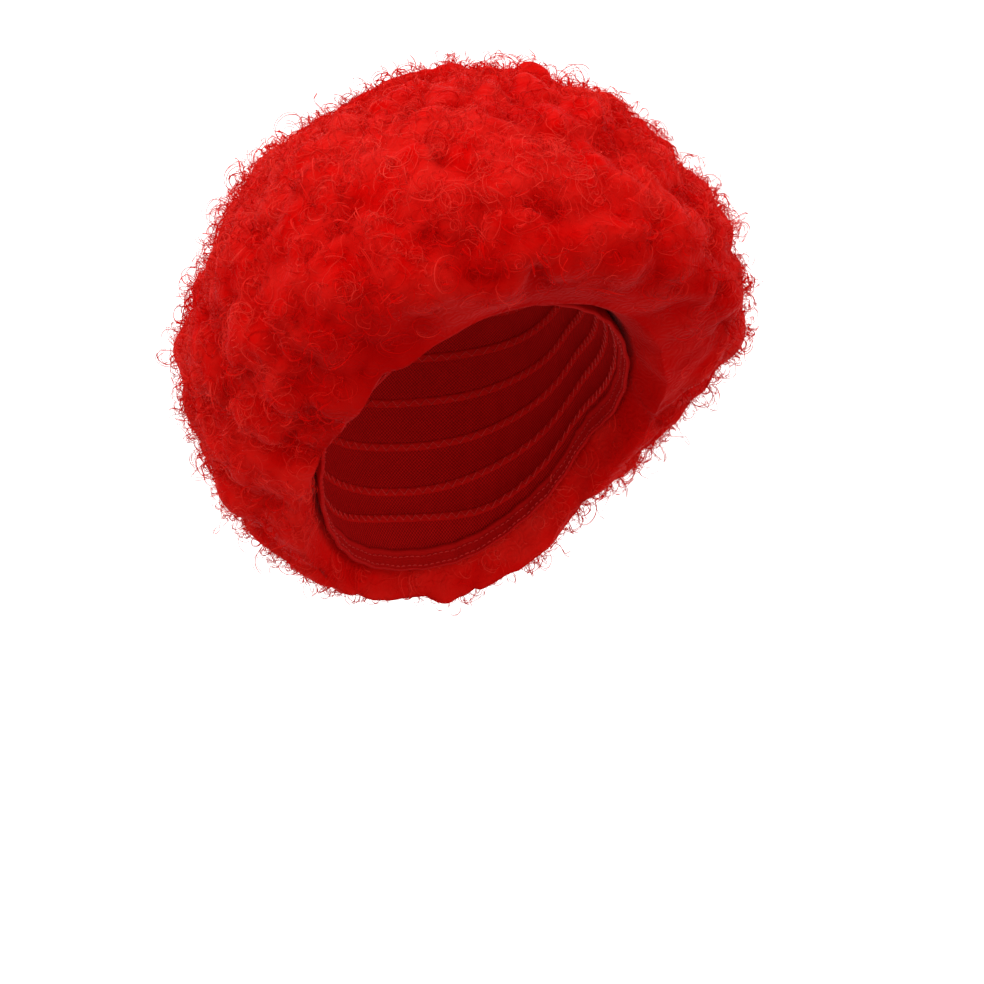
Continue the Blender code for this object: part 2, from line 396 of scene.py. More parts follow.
# %% Read the hem
PLANES = 48
TOP_SLICE = 0.002
READ_BLUR = 5


def spots_of(name):
    """The places of a CAD node's vertices."""
    return np.array([vertex.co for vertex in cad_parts[name].data.vertices])


def planes_of(spots):
    """The upright plane round the head that each spot stands in."""
    around = np.arctan2(spots[:, 0], -spots[:, 1]) % (2 * math.pi)
    return np.round(around / (2 * math.pi) * PLANES).astype(int) % PLANES


def plane_edges(name):
    """For each upright plane of a node: the radii and the heights of its vertices."""
    spots = spots_of(name)
    radius, height = np.hypot(spots[:, 0], spots[:, 1]), spots[:, 2]
    plane = planes_of(spots)
    return [(radius[plane == k], height[plane == k]) for k in range(PLANES)]


def read_at(values, at):
    """Read values that stand in even planes round the head at other azimuths."""
    knots = np.arange(len(values) + 1) * 2 * math.pi / len(values)
    return np.interp(at, knots, np.append(values, values[0]))


def read_round(values):
    """Read one value for each plane at the columns' azimuths, as a closed smooth curve."""
    return blur_round(read_at(values, azimuths), READ_BLUR)


hem_planes = plane_edges("elastic_hem")
hem_top = read_round([h.max() for _, h in hem_planes])
hem_top_radius = read_round([r[h > h.max() - TOP_SLICE].mean() for r, h in hem_planes])
face_top, nape_top = hem_top[0] * 1000, hem_top.min() * 1000
print("top of the hem over the face and at its lowest in mm:", round(face_top), round(nape_top))

# %% [markdown]
# ## Tufts and puffs
# Curled fibre gathers in tufts about as wide as two fingers, and each tuft breaks up into puffs
# about as wide as a fingertip. Sculpting them by hand would take days. Here they are domes round
# scattered points: each spot of the hair takes the highest dome over it, which leaves soft tops
# and narrow dark valleys. The points are bent by a slow noise first, so no dome is a true circle.
# The grid for them is the outline, with a few rings more that turn under to the hem.

# %% Build the grid of the hair's outside
UNDER_RINGS = 7
UNDER_BELLY = 0.0022
SEAT_RISE, SEAT_GAP = 0.002, 0.0015
MIDDLE_RING = 60


def unit(vectors):
    """Vectors of length 1 in the same directions."""
    return vectors / np.maximum(np.linalg.norm(vectors, axis=-1, keepdims=True), 1e-12)


def grid_normals(grid):
    """Outward normals of a grid of points that is closed round the head."""
    round_step = np.roll(grid, -1, 1) - np.roll(grid, 1, 1)
    down_step = np.gradient(grid, axis=0)
    return unit(np.cross(down_step, round_step))


def at_height(radius, height):
    """Points of one ring from their radii and heights."""
    return np.stack((radius * np.sin(azimuths), -radius * np.cos(azimuths), height), axis=-1)


hem_seat = at_height(hem_top_radius + SEAT_GAP, hem_top + SEAT_RISE)
under = []
for k in range(1, UNDER_RINGS + 1):
    t = k / UNDER_RINGS
    ring = outline[-1] * (1 - t) + hem_seat * t
    ring[:, 2] -= UNDER_BELLY * math.sin(math.pi * t)
    under.append(ring)
outside = np.concatenate((outline, np.array(under)))
outside_ring_of = np.concatenate((ring_of, np.zeros((UNDER_RINGS, COLUMNS), int)))
normals = grid_normals(outside)
outward = (normals[MIDDLE_RING] * ways[MIDDLE_RING]).sum(-1).mean()
print("normals point outwards:", bool(outward > 0))

# %% [markdown]
# ## Where the tufts stand
# Random points can fall on each other, and a regular net of points would look knitted. Throwing
# points at random and keeping only those that have room gives the even but careless look of real
# tufts.

# %% Scatter the tufts and puffs
SEED = 7
TUFT_SPACING, TUFT_HEIGHT = 0.027, 0.0070
PUFF_SPACING, PUFF_HEIGHT = 0.0128, 0.0040
TUFT_TRIES, PUFF_TRIES = 2500, 9000
rng = np.random.default_rng(SEED)


def cell_areas(grid):
    """The area of the surface that each point of a grid stands for."""
    across = np.roll(grid, -1, 1) - grid
    down = np.gradient(grid, axis=0)
    return np.linalg.norm(np.cross(across, down), axis=-1)


def scatter(grid, spacing, tries):
    """Pick grid points at random, none nearer to another than the spacing."""
    areas = cell_areas(grid).ravel()
    picks = rng.choice(areas.size, tries, p=areas / areas.sum())
    spots = grid.reshape(-1, 3)[picks]
    kept = [0]
    for k in range(1, tries):
        if np.min(np.sum((spots[kept] - spots[k]) ** 2, axis=1)) > spacing**2:
            kept.append(k)
    return spots[kept], picks[kept]


tuft_spots, _ = scatter(outside, TUFT_SPACING, TUFT_TRIES)
puff_spots, puff_cells = scatter(outside, PUFF_SPACING, PUFF_TRIES)
print("tufts:", len(tuft_spots), "puffs:", len(puff_spots))

# %% [markdown]
# ## Domes
# A dome that falls off steeply at its foot looks stuffed, as a tuft does, where a wave would look
# like a dune. Near the crown, where the grid's columns crowd together, the puffs are evened out.

# %% Give each tuft and puff its dome
DOME_POWER = 0.6
PUFF_BLUR = 3
CROWN_RINGS, CROWN_BLUR = 30, 40


def wander(points, size, amount, shift=0.0):
    """A slow, smooth wobble of points, made of a few sine waves in different directions."""
    moved = np.zeros_like(points)
    for step, (a, b, c) in enumerate(((1.0, 0.7, -0.4), (-0.6, 1.1, 0.5), (0.3, -0.8, 1.2))):
        phase = (points @ np.array((a, b, c))) * 2 * math.pi / size + shift + step
        moved += np.stack((np.sin(phase), np.sin(phase * 1.3 + 2), np.cos(phase * 0.9 + 4)), -1)
    return points + moved * amount / 3


def domes(points, centres, radii, heights, near=5):
    """The height of the highest dome over each point."""
    tree = KDTree(len(centres))
    for k, centre in enumerate(centres):
        tree.insert(centre, k)
    tree.balance()
    flat = points.reshape(-1, 3)
    top = np.zeros(len(flat))
    for i, point in enumerate(flat):
        for _, k, distance in tree.find_n(point, near):
            share = distance / radii[k]
            if share < 1:
                height = heights[k] * (1 - share * share) ** DOME_POWER
                if height > top[i]:
                    top[i] = height
    return top.reshape(points.shape[:-1])


tuft_radii = TUFT_SPACING * rng.uniform(0.72, 1.08, len(tuft_spots))
puff_radii = PUFF_SPACING * rng.uniform(0.66, 1.02, len(puff_spots))
bent = wander(wander(outside, 0.050, 0.006), 0.021, 0.003, 1.0)
tuft_heights = TUFT_HEIGHT * rng.uniform(0.6, 1.2, len(tuft_spots))
puff_heights = PUFF_HEIGHT * rng.uniform(0.6, 1.25, len(puff_spots))
tufts = domes(bent, tuft_spots, tuft_radii, tuft_heights)
puffs = domes(bent, puff_spots, puff_radii, puff_heights)
puffs = blur_down(blur_round(puffs, PUFF_BLUR), PUFF_BLUR)
near_crown = ease(1 - np.arange(len(outside)) / CROWN_RINGS)[:, None]
puffs = puffs * (1 - near_crown) + blur_round(puffs, CROWN_BLUR) * near_crown
heights = np.round([tufts.max() * 1000, puffs.max() * 1000], 1)
print("highest tuft and puff in mm:", heights)

# %% [markdown]
# ## The dense body of the hair
# Under the loose curls the fibre is so dense that it reads as a soft solid. It is one closed
# sheet: the outside with its tufts and puffs, the underside, and a plain inside that follows the
# cap. The relief fades out towards the hem, where the hair is short and lies smooth. Shade is
# painted into the colour and kept for the material: the valleys are painted darker, and so is the
# hair near the hem, above all beside the face, where less light gets in between the fibres.

# %% Raise the tufts and puffs
FADE_RINGS, FADE_FRONT_RINGS = 10, 6
FLAT_FRONT_RINGS = 6
SHADE_RINGS, SHADE_FRONT_RINGS = 18, 30
BODY_SINK = 0.0058
OVER_FACE, BESIDE_FACE = (0.25, 0.4), (-0.3, 0.6)
NORMAL_BLUR = 2
# Painted light and shade: how much the tops of tufts and puffs lighten the colour, and how much
# shade is painted into the valleys, near the hem and beside the face.
TUFT_LIGHT, PUFF_LIGHT = 0.75, 0.4
VALLEY_SHADE, HEM_SHADE, FACE_SHADE = 0.65, 0.15, 0.55


def blur_vectors(grid, passes):
    """Even out a grid of directions."""
    rounded = np.moveaxis(blur_round(np.moveaxis(grid, -1, 0), passes), 0, -1)
    return unit(blur_down(rounded, passes))


over_face = over_front(*OVER_FACE)
to_hem = (len(outside) - 1 - np.arange(len(outside)))[:, None]
fade_rings = FADE_RINGS + FADE_FRONT_RINGS * over_face
fade = ease((to_hem - FLAT_FRONT_RINGS * over_face) / fade_rings)
beside_face = over_front(*BESIDE_FACE)
shade = 1 - ease(to_hem / (SHADE_RINGS + SHADE_FRONT_RINGS * beside_face))
relief = (tufts + puffs - BODY_SINK) * fade
surface = outside + normals * relief[..., None]
surface_normals = grid_normals(surface)
soft_normals = blur_vectors(surface_normals, NORMAL_BLUR)
# Painted shade: darker in the valleys between tufts and puffs, and near the hem, most of all beside
# the face.
valley = 1 - (tufts / TUFT_HEIGHT * TUFT_LIGHT + puffs / PUFF_HEIGHT * PUFF_LIGHT)
painted_shade = valley * VALLEY_SHADE + shade * (HEM_SHADE + FACE_SHADE * beside_face)
painted_shade = np.clip(painted_shade, 0, 1)
print("relief from", round(relief.min() * 1000, 1), "to", round(relief.max() * 1000, 1), "mm")

# %% [markdown]
# ## The inside of the body
# The body is closed over the cap, because an open sheet would show its edge when one looks in under
# the hair. The closing side is plain: it follows the cap at a small distance and is never seen.

# %% Follow the cap's outside
INNER_RINGS = 12
CAP_HEART = Vector((0.0, 0.0, -0.090))
CAP_SKIN = 0.0008
CROWN_LIFT = np.array((0, 0, 0.0003))
cap_tree, _ = tree_of(["cap_net"])


def cap_outside(turn, azimuth):
    """A spot just outside the cap, `turn` down from the crown as seen from its heart."""
    way = towards(turn, azimuth)
    hit, _, _, _ = cap_tree.ray_cast(CAP_HEART + way * FAR, -way, FAR)
    return None if hit is None else hit + way * CAP_SKIN


def turn_from(points, heart):
    """The turns of ring points as seen from a heart."""
    away = points - np.array(heart)
    return np.arctan2(np.hypot(away[:, 0], away[:, 1]), away[:, 2])


seat_turns = turn_from(hem_seat, CAP_HEART)
inner = []
for k in range(1, INNER_RINGS):
    share = 1 - k / INNER_RINGS
    inner.append([cap_outside(turn * share, a) for turn, a in zip(seat_turns, azimuths)])
inner = np.array(inner)
crown_inside = np.array(cap_outside(0.0, 0.0))
crown_outside = surface[0].mean(axis=0) + CROWN_LIFT
crown_depth = (crown_outside - crown_inside)[2] * 1000
print("inner rings:", len(inner), "depth of the hair at the crown in mm:", round(crown_depth))

# %% [markdown]
# ## One closed mesh
# All rings are joined to one mesh, with a fan of triangles at the crown on either side. Building
# it from arrays takes a moment, where modelling tools would take minutes for so many faces.

# %% Join the body
# Painted shade at the crown: a little on its outside, full on the inside, which is never seen.
CROWN_PAINTED_SHADE = (0.2, 1.0)


def mesh_piece(name, points, quads, triangles=()):
    """A mesh object from arrays of points and faces."""
    mesh = bpy.data.meshes.new(name)
    quads = np.asarray(quads, int).reshape(-1, 4)
    triangles = np.asarray(triangles, int).reshape(-1, 3)
    loops = np.concatenate((quads.ravel(), triangles.ravel()))
    first_triangle = quads.size
    starts = (np.arange(len(quads)) * 4, first_triangle + np.arange(len(triangles)) * 3)
    starts = np.concatenate(starts)
    mesh.vertices.add(len(points))
    mesh.vertices.foreach_set("co", np.asarray(points, np.float32).ravel())
    mesh.loops.add(len(loops))
    mesh.loops.foreach_set("vertex_index", loops.astype(np.int32))
    mesh.polygons.add(len(starts))
    mesh.polygons.foreach_set("loop_start", starts.astype(np.int32))
    mesh.update(calc_edges=True)
    mesh.validate()
    mesh.shade_smooth()
    piece = bpy.data.objects.new(name, mesh)
    bpy.context.scene.collection.objects.link(piece)
    return piece


def ring_quads(rings, columns, closed=False):
    """Faces between closed rings of points. Where `closed`, the last ring joins the first."""
    i = np.arange(columns)
    j = (i + 1) % columns
    quads = []
    for k in range(rings if closed else rings - 1):
        a, b = k * columns, (k + 1) % rings * columns
        quads.append(np.stack((a + i, b + i, b + j, a + j), axis=-1))
    return np.concatenate(quads)


def fan(centre, first, columns, flip=False):
    """Triangles from a centre point to a closed ring."""
    i = first + np.arange(columns)
    j = first + (np.arange(columns) + 1) % columns
    c = np.full(columns, centre)
    return np.stack((c, j, i) if flip else (c, i, j), axis=-1)


def paint(piece, name, values):
    """Keep one number for each vertex, for the material to read."""
    layer = piece.data.attributes.new(name, "FLOAT", "POINT")
    layer.data.foreach_set("value", np.asarray(values, np.float32).ravel())


all_rings = np.concatenate((surface, inner))
body_points = np.concatenate((all_rings.reshape(-1, 3), [crown_outside, crown_inside]))
body_count = len(all_rings) * COLUMNS
body_quads = ring_quads(len(all_rings), COLUMNS)
top_fan = fan(body_count, 0, COLUMNS)
bottom_fan = fan(body_count + 1, body_count - COLUMNS, COLUMNS, flip=True)
body_fans = np.concatenate((top_fan, bottom_fan))
hair_body = mesh_piece("hair_body", body_points, body_quads, body_fans)
# Painted shade for every vertex of the body; the inside is painted in full shade.
body_painted_shade = np.concatenate((painted_shade.ravel(), np.ones(len(inner) * COLUMNS), CROWN_PAINTED_SHADE))
paint(hair_body, "painted_shade", body_painted_shade)
print("hair body triangles:", 2 * len(body_quads) + len(body_fans))

# %% [markdown]
# ## Fine curls as ribbons
# A fibre could be a tube, but a tube of six sides costs six times the faces of a flat strip, and
# at a third of a millimetre nobody can tell. So each strand is a ribbon of quads, rolled to one
# side or the other so that the strands catch the light differently. All ribbons of one ring of
# hair are joined in one mesh, built from arrays in one go.

# %% Find the hair's surface from any point near it
outer_quads = ring_quads(len(surface), COLUMNS)
surface_flat = surface.reshape(-1, 3)
surface_tree = BVHTree.FromPolygons(surface_flat.tolist(), outer_quads.tolist())
quad_normals = unit(soft_normals.reshape(-1, 3)[outer_quads].sum(axis=1))


def cling(points):
    """The nearest spots of the hair's surface, with its soft normals and its faces there."""
    flat = points.reshape(-1, 3)
    spots = np.empty_like(flat)
    faces = np.empty(len(flat), int)
    for k, point in enumerate(flat.tolist()):
        spot, _, face, _ = surface_tree.find_nearest(point)
        spots[k] = spot
        faces[k] = face
    there = quad_normals[faces]
    return spots.reshape(points.shape), there.reshape(points.shape), faces.reshape(points.shape[:-1])


def tangents_at(normal):
    """Two random directions along the surface, square to each other."""
    helper = unit(rng.normal(size=normal.shape))
    first = unit(np.cross(normal, helper))
    return first, np.cross(normal, first)


print("faces of the surface that strands cling to:", len(outer_quads))

# %% [markdown]
# ## From paths to ribbons
# A strand starts as a row of points. Two vertices beside each of them make it a strip, which is
# narrower at both ends, as the eye expects of a fibre that dives out of sight.

# %% Turn paths into ribbons
END_WIDTH = 0.35


def ribbons(paths, normals_there, rolls, widths):
    """Vertices of flat strips along the paths: two for each point of a path."""
    along = unit(np.gradient(paths, axis=1))
    flat_side = unit(np.cross(along, normals_there))
    up_side = np.cross(flat_side, along)
    side = flat_side * np.cos(rolls)[..., None] + up_side * np.sin(rolls)[..., None]
    t = np.linspace(-1, 1, paths.shape[1])
    taper = END_WIDTH + (1 - END_WIDTH) * np.sqrt(1 - np.abs(t) ** 3)
    half = (widths[:, None] * taper / 2)[..., None]
    return np.stack((paths - side * half, paths + side * half), axis=2)


def ribbon_quads(count, points, start=0):
    """Faces of a number of ribbons, each with the same number of points along it."""
    first = (np.arange(count) * points * 2)[:, None] + np.arange(points - 1) * 2 + start
    return np.stack((first, first + 1, first + 3, first + 2), axis=-1).reshape(-1, 4)


class Strands:
    """Ribbons gathered for the rings of hair, to be joined into one mesh for each ring."""

    def __init__(self):
        self.groups = []

    def add(self, vertices, tones, rings):
        """Keep ribbons with a tone for each of their points and the ring that each roots in."""
        self.groups.append((vertices, tones, rings))

    def mesh(self, name, ring):
        """One mesh of all the ribbons that root in a ring of hair."""
        points, quads, tones = [], [], []
        start = 0
        for vertices, tone, rings in self.groups:
            mine = vertices[rings == ring]
            if not len(mine):
                continue
            points.append(mine.reshape(-1, 3))
            quads.append(ribbon_quads(len(mine), mine.shape[1], start))
            tones.append(np.repeat(tone[rings == ring], 2, axis=1).ravel())
            start += mine.shape[0] * mine.shape[1] * 2
        piece = mesh_piece(name, np.concatenate(points), np.concatenate(quads))
        # The tone carries the strands' painted light and shade, besides their random spread.
        paint(piece, "tone", np.concatenate(tones))
        return piece


strands = Strands()
print("a ribbon of 20 points has", len(ribbon_quads(1, 20)), "faces")

# %% [markdown]
# ## Rules for every strand
# A strand is drawn flat, laid on the hair's surface point by point, lifted off it and made a
# ribbon. It is painted lighter on a puff than in the hollows, as light and shade. Where it would run
# over the hem's edge it is left out, because one loose end there spoils the clean line.

# %% Lay strands on the surface
SURFACE_RING = np.maximum(outside_ring_of, 0).reshape(-1)
LOOSE_NORMALS = soft_normals.reshape(-1, 3)
# The painted shade of each cell of the surface, for the strands' tones.
PAINTED_SHADES = painted_shade.reshape(-1)
LOWEST_DIP = -0.0006
EDGE_RINGS = 1
CLEAN_FRONT_RINGS = 10
FRIZZ_EDGE_RINGS = 7
FRIZZ_FRONT_RINGS = 3
# Strands' tones follow the painted shade: lowest in the deepest valleys, highest on a puff's top.
LOW_TONE, TONE_RANGE = 0.22, 0.42

ring_numbers = np.arange(len(surface))[:, None]
rings_left = len(surface) - EDGE_RINGS - CLEAN_FRONT_RINGS * over_face - ring_numbers
clear_of_edge = (rings_left > 0).reshape(-1)
frizz_may_root = (rings_left > FRIZZ_EDGE_RINGS + FRIZZ_FRONT_RINGS * over_face).reshape(-1)


def column(low, high, count):
    """One random number for each strand, as a column."""
    return rng.uniform(low, high, (count, 1))


def ring_at(faces):
    """The ring of hair under each strand's root."""
    return SURFACE_RING[outer_quads[faces, 0]]


def tone_at(cells, spread, more=0.0):
    """Painted light and shade: strands on a puff's top are lighter than those in the hollows."""
    base = LOW_TONE + TONE_RANGE * (1 - PAINTED_SHADES[cells])[:, None]
    return np.clip(base + rng.normal(0, spread, (len(cells), 1)) + more, 0, 1)


def lay_strands(centres, first, second, u, v, lift, rolls, widths, tones):
    """Lay flat curves on the surface, lift them off it and keep them as ribbons.

    A curve that runs over the hem's edge is left out.
    """
    guide = centres[:, None] + first[:, None] * u[..., None] + second[:, None] * v[..., None]
    spots, there, faces = cling(guide)
    paths = spots + there * np.maximum(lift, LOWEST_DIP)[..., None]
    keep = clear_of_edge[faces].all(axis=1)
    made = ribbons(paths[keep], there[keep], rolls[keep], widths[keep])
    strands.add(made, tones[keep], ring_at(faces[keep, 0]))


print("cells that strands may cross:", int(clear_of_edge.sum()), "of", clear_of_edge.size)

# %% [markdown]
# ## Whorls
# Most of what the eye sees is the end of a curl that faces outwards: up to one turn of fibre wound
# round the top of a puff. The fibres of one curl were wound together, so the strands of a puff
# share its centre, its sense and its slant, and differ only a little. Each is a spiral drawn flat
# on the surface, then lifted and tilted, so that part of it dips in and only an arc shows. Close
# over the face none are laid, as the hair lies smooth along the hem there.

# %% Wind the whorls
WHORLS = 6200
WHORL_POINTS = 19
STRAND_WIDTH = 0.00028
WHORL_SWAY = 0.22

puff_normals = LOOSE_NORMALS[puff_cells]
puff_first, puff_second = tangents_at(puff_normals)
puff_count = len(puff_spots)
puff_sense = np.where(rng.uniform(size=puff_count) < 0.5, 1.0, -1.0)
puff_squash = rng.uniform(0.55, 1.0, puff_count)
puff_swing = rng.uniform(0, 2 * math.pi, puff_count)
puff_start = rng.uniform(0, 2 * math.pi, puff_count)
puff_shift = rng.normal(0, WHORL_SWAY, (2, puff_count)) * puff_radii


def wind_whorls(count):
    """Spirals round the puffs, more of them on the larger ones."""
    t = np.linspace(0, 1, WHORL_POINTS)[None, :]
    weights = puff_radii**2
    chosen = rng.choice(puff_count, count, p=weights / weights.sum())
    size = puff_radii[chosen][:, None] * column(0.18, 0.95, count)
    winding = puff_sense[chosen][:, None] * 2 * math.pi * column(0.30, 0.95, count)
    angle = puff_start[chosen][:, None] + rng.normal(0, 1.3, (count, 1)) + winding * t
    radius = size * (1 - column(0.10, 0.45, count) * t)
    squash = np.clip(puff_squash[chosen][:, None] + column(-0.12, 0.12, count), 0.4, 1.0)
    stray = rng.normal(0, WHORL_SWAY, (2, count, 1)) * puff_radii[chosen][:, None]
    u = puff_shift[0, chosen][:, None] + stray[0] + radius * np.cos(angle)
    v = puff_shift[1, chosen][:, None] + stray[1] + radius * np.sin(angle) * squash
    slant = (1 - squash) * radius * 0.8 * np.sin(angle + puff_swing[chosen][:, None])
    lift = column(0.0001, 0.0017, count) + slant
    rolls = column(-0.8, 0.8, count) + column(-0.6, 0.6, count) * t
    # Painted light: strands that stand higher off the puff are lighter.
    tones = tone_at(puff_cells[chosen], 0.09, 60 * lift)
    centres = surface_flat[puff_cells[chosen]]
    widths = STRAND_WIDTH * rng.uniform(0.7, 1.15, count)
    lay_strands(centres, puff_first[chosen], puff_second[chosen], u, v, lift, rolls, widths, tones)


wind_whorls(WHORLS)
print("whorls:", WHORLS)

# %% [markdown]
# ## Waves and ringlets
# Between the whorls, fibre runs along the surface from puff to puff. Some of it only waves, some
# still holds its helix and lies like a stretched spring.

# %% Lay the waves and ringlets
WAVES = 2300
WAVE_POINTS = 16
RINGLETS = 1300
RINGLET_POINTS = 22


def pick_on_surface(count, allowed=clear_of_edge):
    """Random cells all over the hair, by area, more of them on the puffs than between."""
    areas = cell_areas(surface).ravel() * allowed * (1.3 - PAINTED_SHADES)
    return rng.choice(areas.size, count, p=areas / areas.sum())


def lay_waves(count):
    """Strands that only wave as they run over the surface."""
    t = np.linspace(0, 1, WAVE_POINTS)[None, :]
    cells = pick_on_surface(count)
    first, second = tangents_at(LOOSE_NORMALS[cells])
    length = column(0.010, 0.024, count)
    angle = column(0, 2 * math.pi, count) + 2 * math.pi * column(0.7, 2.0, count) * t
    swing = column(0.0008, 0.0024, count)
    bend = column(-0.012, 0.012, count)
    u = length * (t - 0.5) + swing * 0.6 * np.cos(angle)
    v = swing * np.sin(angle) + bend * (t - 0.5) ** 2 * 2
    lift = column(0.0, 0.0014, count) + swing * 0.5 * np.sin(angle * 0.7 + column(0, 6, count))
    rolls = column(-0.8, 0.8, count) + column(-0.8, 0.8, count) * t
    tones = tone_at(cells, 0.09, 0 * t)
    widths = STRAND_WIDTH * rng.uniform(0.65, 1.1, count)
    lay_strands(surface_flat[cells], first, second, u, v, lift, rolls, widths, tones)


def lay_ringlets(count):
    """Strands that still hold their helix."""
    t = np.linspace(0, 1, RINGLET_POINTS)[None, :]
    cells = pick_on_surface(count)
    first, second = tangents_at(LOOSE_NORMALS[cells])
    length = column(0.007, 0.015, count)
    angle = column(0, 2 * math.pi, count) + 2 * math.pi * column(1.6, 2.8, count) * t
    coil = column(0.0012, 0.0028, count) * (0.7 + 0.3 * np.sin(math.pi * t))
    u = length * (t - 0.5)
    v = coil * np.cos(angle)
    lift = coil * 0.8 * np.sin(angle) + column(0.0004, 0.0016, count)
    # Painted light: each coil is lighter where it rises off the surface and darker where it dips.
    tones = tone_at(cells, 0.09, 0.08 * np.sin(angle))
    widths = STRAND_WIDTH * rng.uniform(0.7, 1.1, count)
    lay_strands(surface_flat[cells], first, second, u, v, lift, angle * 0.5, widths, tones)


lay_waves(WAVES)
lay_ringlets(RINGLETS)
print("waves and ringlets:", WAVES + RINGLETS)

# %% [markdown]
# ## Frizz
# The outline of the real wig isn't clean: open loops and hooks stand a few millimetres off it.
# They start in the hair, rise and curl over, a few side by side as they were wound. A flat ribbon
# would vanish where it is seen edge on, so each is twisted along its length. A particle system
# could grow them too, but meshes keep every strand inside the space that the model allows.

# %% Shape the frizz
BUNDLES = 5080
BUNDLE = 3
FRIZZ_POINTS = 15
WISP_SHARE, WISP_GAIN = 0.18, 0.6


def bundled(low, high, jitter=0.10):
    """One number for each strand. The strands of a bundle share it, give or take a little."""
    shared = np.repeat(column(low, high, BUNDLES), BUNDLE, axis=0)
    return shared + (high - low) * rng.normal(0, jitter, shared.shape)


def wisps():
    """A factor for each strand: a few bundles stand much taller than the rest."""
    return 1 + WISP_GAIN * np.repeat(column(0, 1, BUNDLES) < WISP_SHARE, BUNDLE, axis=0)


def open_loops(t):
    """Steps along and off the surface of loops that stand on it, as parts of a turn."""
    size = bundled(0.0017, 0.0052) * wisps()
    angle = bundled(-2.7, -1.9) + bundled(3.4, 6.3) * t
    off = size * (bundled(0.1, 1.0) + bundled(0.6, 1.0) * np.cos(angle))
    return size * np.sin(angle), bundled(-0.5, 0.5) * off, off


def sprung_ends(t):
    """The same for free ends, which keep their helix and lean over."""
    length = bundled(0.003, 0.0115) * wisps()
    lean = bundled(0.2, 1.2)
    coil = bundled(0.0011, 0.0026)
    angle = bundled(0, 6.3, 0.03) + bundled(3.5, 8.5) * t
    off = length * t * (1 - 0.4 * lean * t) + coil * 0.5 * np.sin(angle * 0.9)
    return length * lean * t + coil * (np.cos(angle) - 1), coil * np.sin(angle), off


print("bundles of frizz:", BUNDLES, "with", BUNDLE, "strands each")

# %% [markdown]
# ## Frizz in its place
# Each bundle roots a little under the surface. Frizz near the hem is kept short, and any strand
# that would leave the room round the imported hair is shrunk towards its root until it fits.

# %% Raise the frizz
FRIZZ_WIDTH = 0.00034
ROOT_DEPTH = 0.0008
TWIST = 4.0
FRIZZ_ROOM = 0.0086
LOOPED_SHARE = 0.7
EDGE_FRIZZ = 0.2
ROOTED_SHARE = 0.2
box_low, box_high = low_corner - FRIZZ_ROOM, high_corner + FRIZZ_ROOM


def raise_frizz():
    """Loops and free ends in bundles, each kept inside the room round the hair."""
    t = np.linspace(0, 1, FRIZZ_POINTS)[None, :]
    roots = pick_on_surface(BUNDLES, frizz_may_root)
    cells = np.repeat(roots, BUNDLE)
    tangents = tangents_at(LOOSE_NORMALS[roots])
    first, second = (np.repeat(way, BUNDLE, axis=0) for way in tangents)
    normal = LOOSE_NORMALS[cells]
    spots = surface_flat[cells] + first * column(-0.0006, 0.0006, len(cells))
    looped = np.repeat(column(0, 1, BUNDLES) < LOOPED_SHARE, BUNDLE, axis=0)
    steps = [np.where(looped, a, b) for a, b in zip(open_loops(t), sprung_ends(t))]
    shrink = EDGE_FRIZZ + (1 - EDGE_FRIZZ) * fade.reshape(-1)[cells]
    along, aside, off = (part * shrink[:, None] for part in steps)
    off = (off + ROOT_DEPTH) * np.clip(t / ROOTED_SHARE, 0, 1) - ROOT_DEPTH
    steps = first[:, None] * along[..., None] + second[:, None] * aside[..., None]
    steps = steps + normal[:, None] * off[..., None]
    room = np.where(steps > 0, box_high - spots[:, None], spots[:, None] - box_low)
    over = (np.abs(steps) / np.maximum(room, 1e-5)).max(axis=(1, 2))
    paths = spots[:, None] + steps / np.maximum(over, 1)[:, None, None]
    there = np.broadcast_to(normal[:, None], paths.shape)
    # Painted light: frizz is a little darker at its root and lighter towards its tip.
    tones = tone_at(cells, 0.07, 0.06 * t - 0.04)
    widths = FRIZZ_WIDTH * rng.uniform(0.75, 1.3, len(cells))
    rolls = column(0, math.pi, len(cells)) + column(-TWIST, TWIST, len(cells)) * t
    strands.add(ribbons(paths, there, rolls, widths), tones, SURFACE_RING[cells])


raise_frizz()
print("frizz:", BUNDLES * BUNDLE)

# %% [markdown]
# ## The net cap from inside
# Looking in through the face opening, one sees the inside of the cap. It is a stretch net, and
# the hair is sewn on in rows, so that each row shows as a denser seam with a zigzag stitch. The
# net is drawn in by every seam and bulges a little between them. The cap's own wall is scanned
# with rays again, this time from inside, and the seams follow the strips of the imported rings.

# %% Find the seams on the cap
CAP_COLUMNS = 288
STRIP_REACH = 0.0011
PLANE_BLUR, SEAM_BLUR = 2, 6
EDGE_TRIES = 40
CAP_INSIDE, CAP_OUTSIDE = math.radians(30), math.radians(175)
CAP_BLUR, CAP_TRIM = 3, 0.002
QUARTERS = [0, CAP_COLUMNS // 4, CAP_COLUMNS // 2]
cap_azimuths = np.arange(CAP_COLUMNS) * 2 * math.pi / CAP_COLUMNS
hem_tree, _ = tree_of(["elastic_hem"])


def seam_turns(node):
    """How far down from the crown a ring's sewn strip runs, round the head."""
    spots = spots_of(node)
    gaps = np.array([cap_tree.find_nearest(spot)[3] for spot in spots.tolist()])
    sewn = spots[gaps < STRIP_REACH]
    plane = planes_of(sewn)
    down = turn_from(sewn, CAP_HEART)
    counts = np.bincount(plane, minlength=PLANES)
    sums = np.bincount(plane, down, minlength=PLANES)
    known = counts > 0
    means = np.interp(np.arange(PLANES), np.flatnonzero(known), sums[known] / counts[known])
    return blur_round(read_at(blur_round(means, PLANE_BLUR), cap_azimuths), SEAM_BLUR)


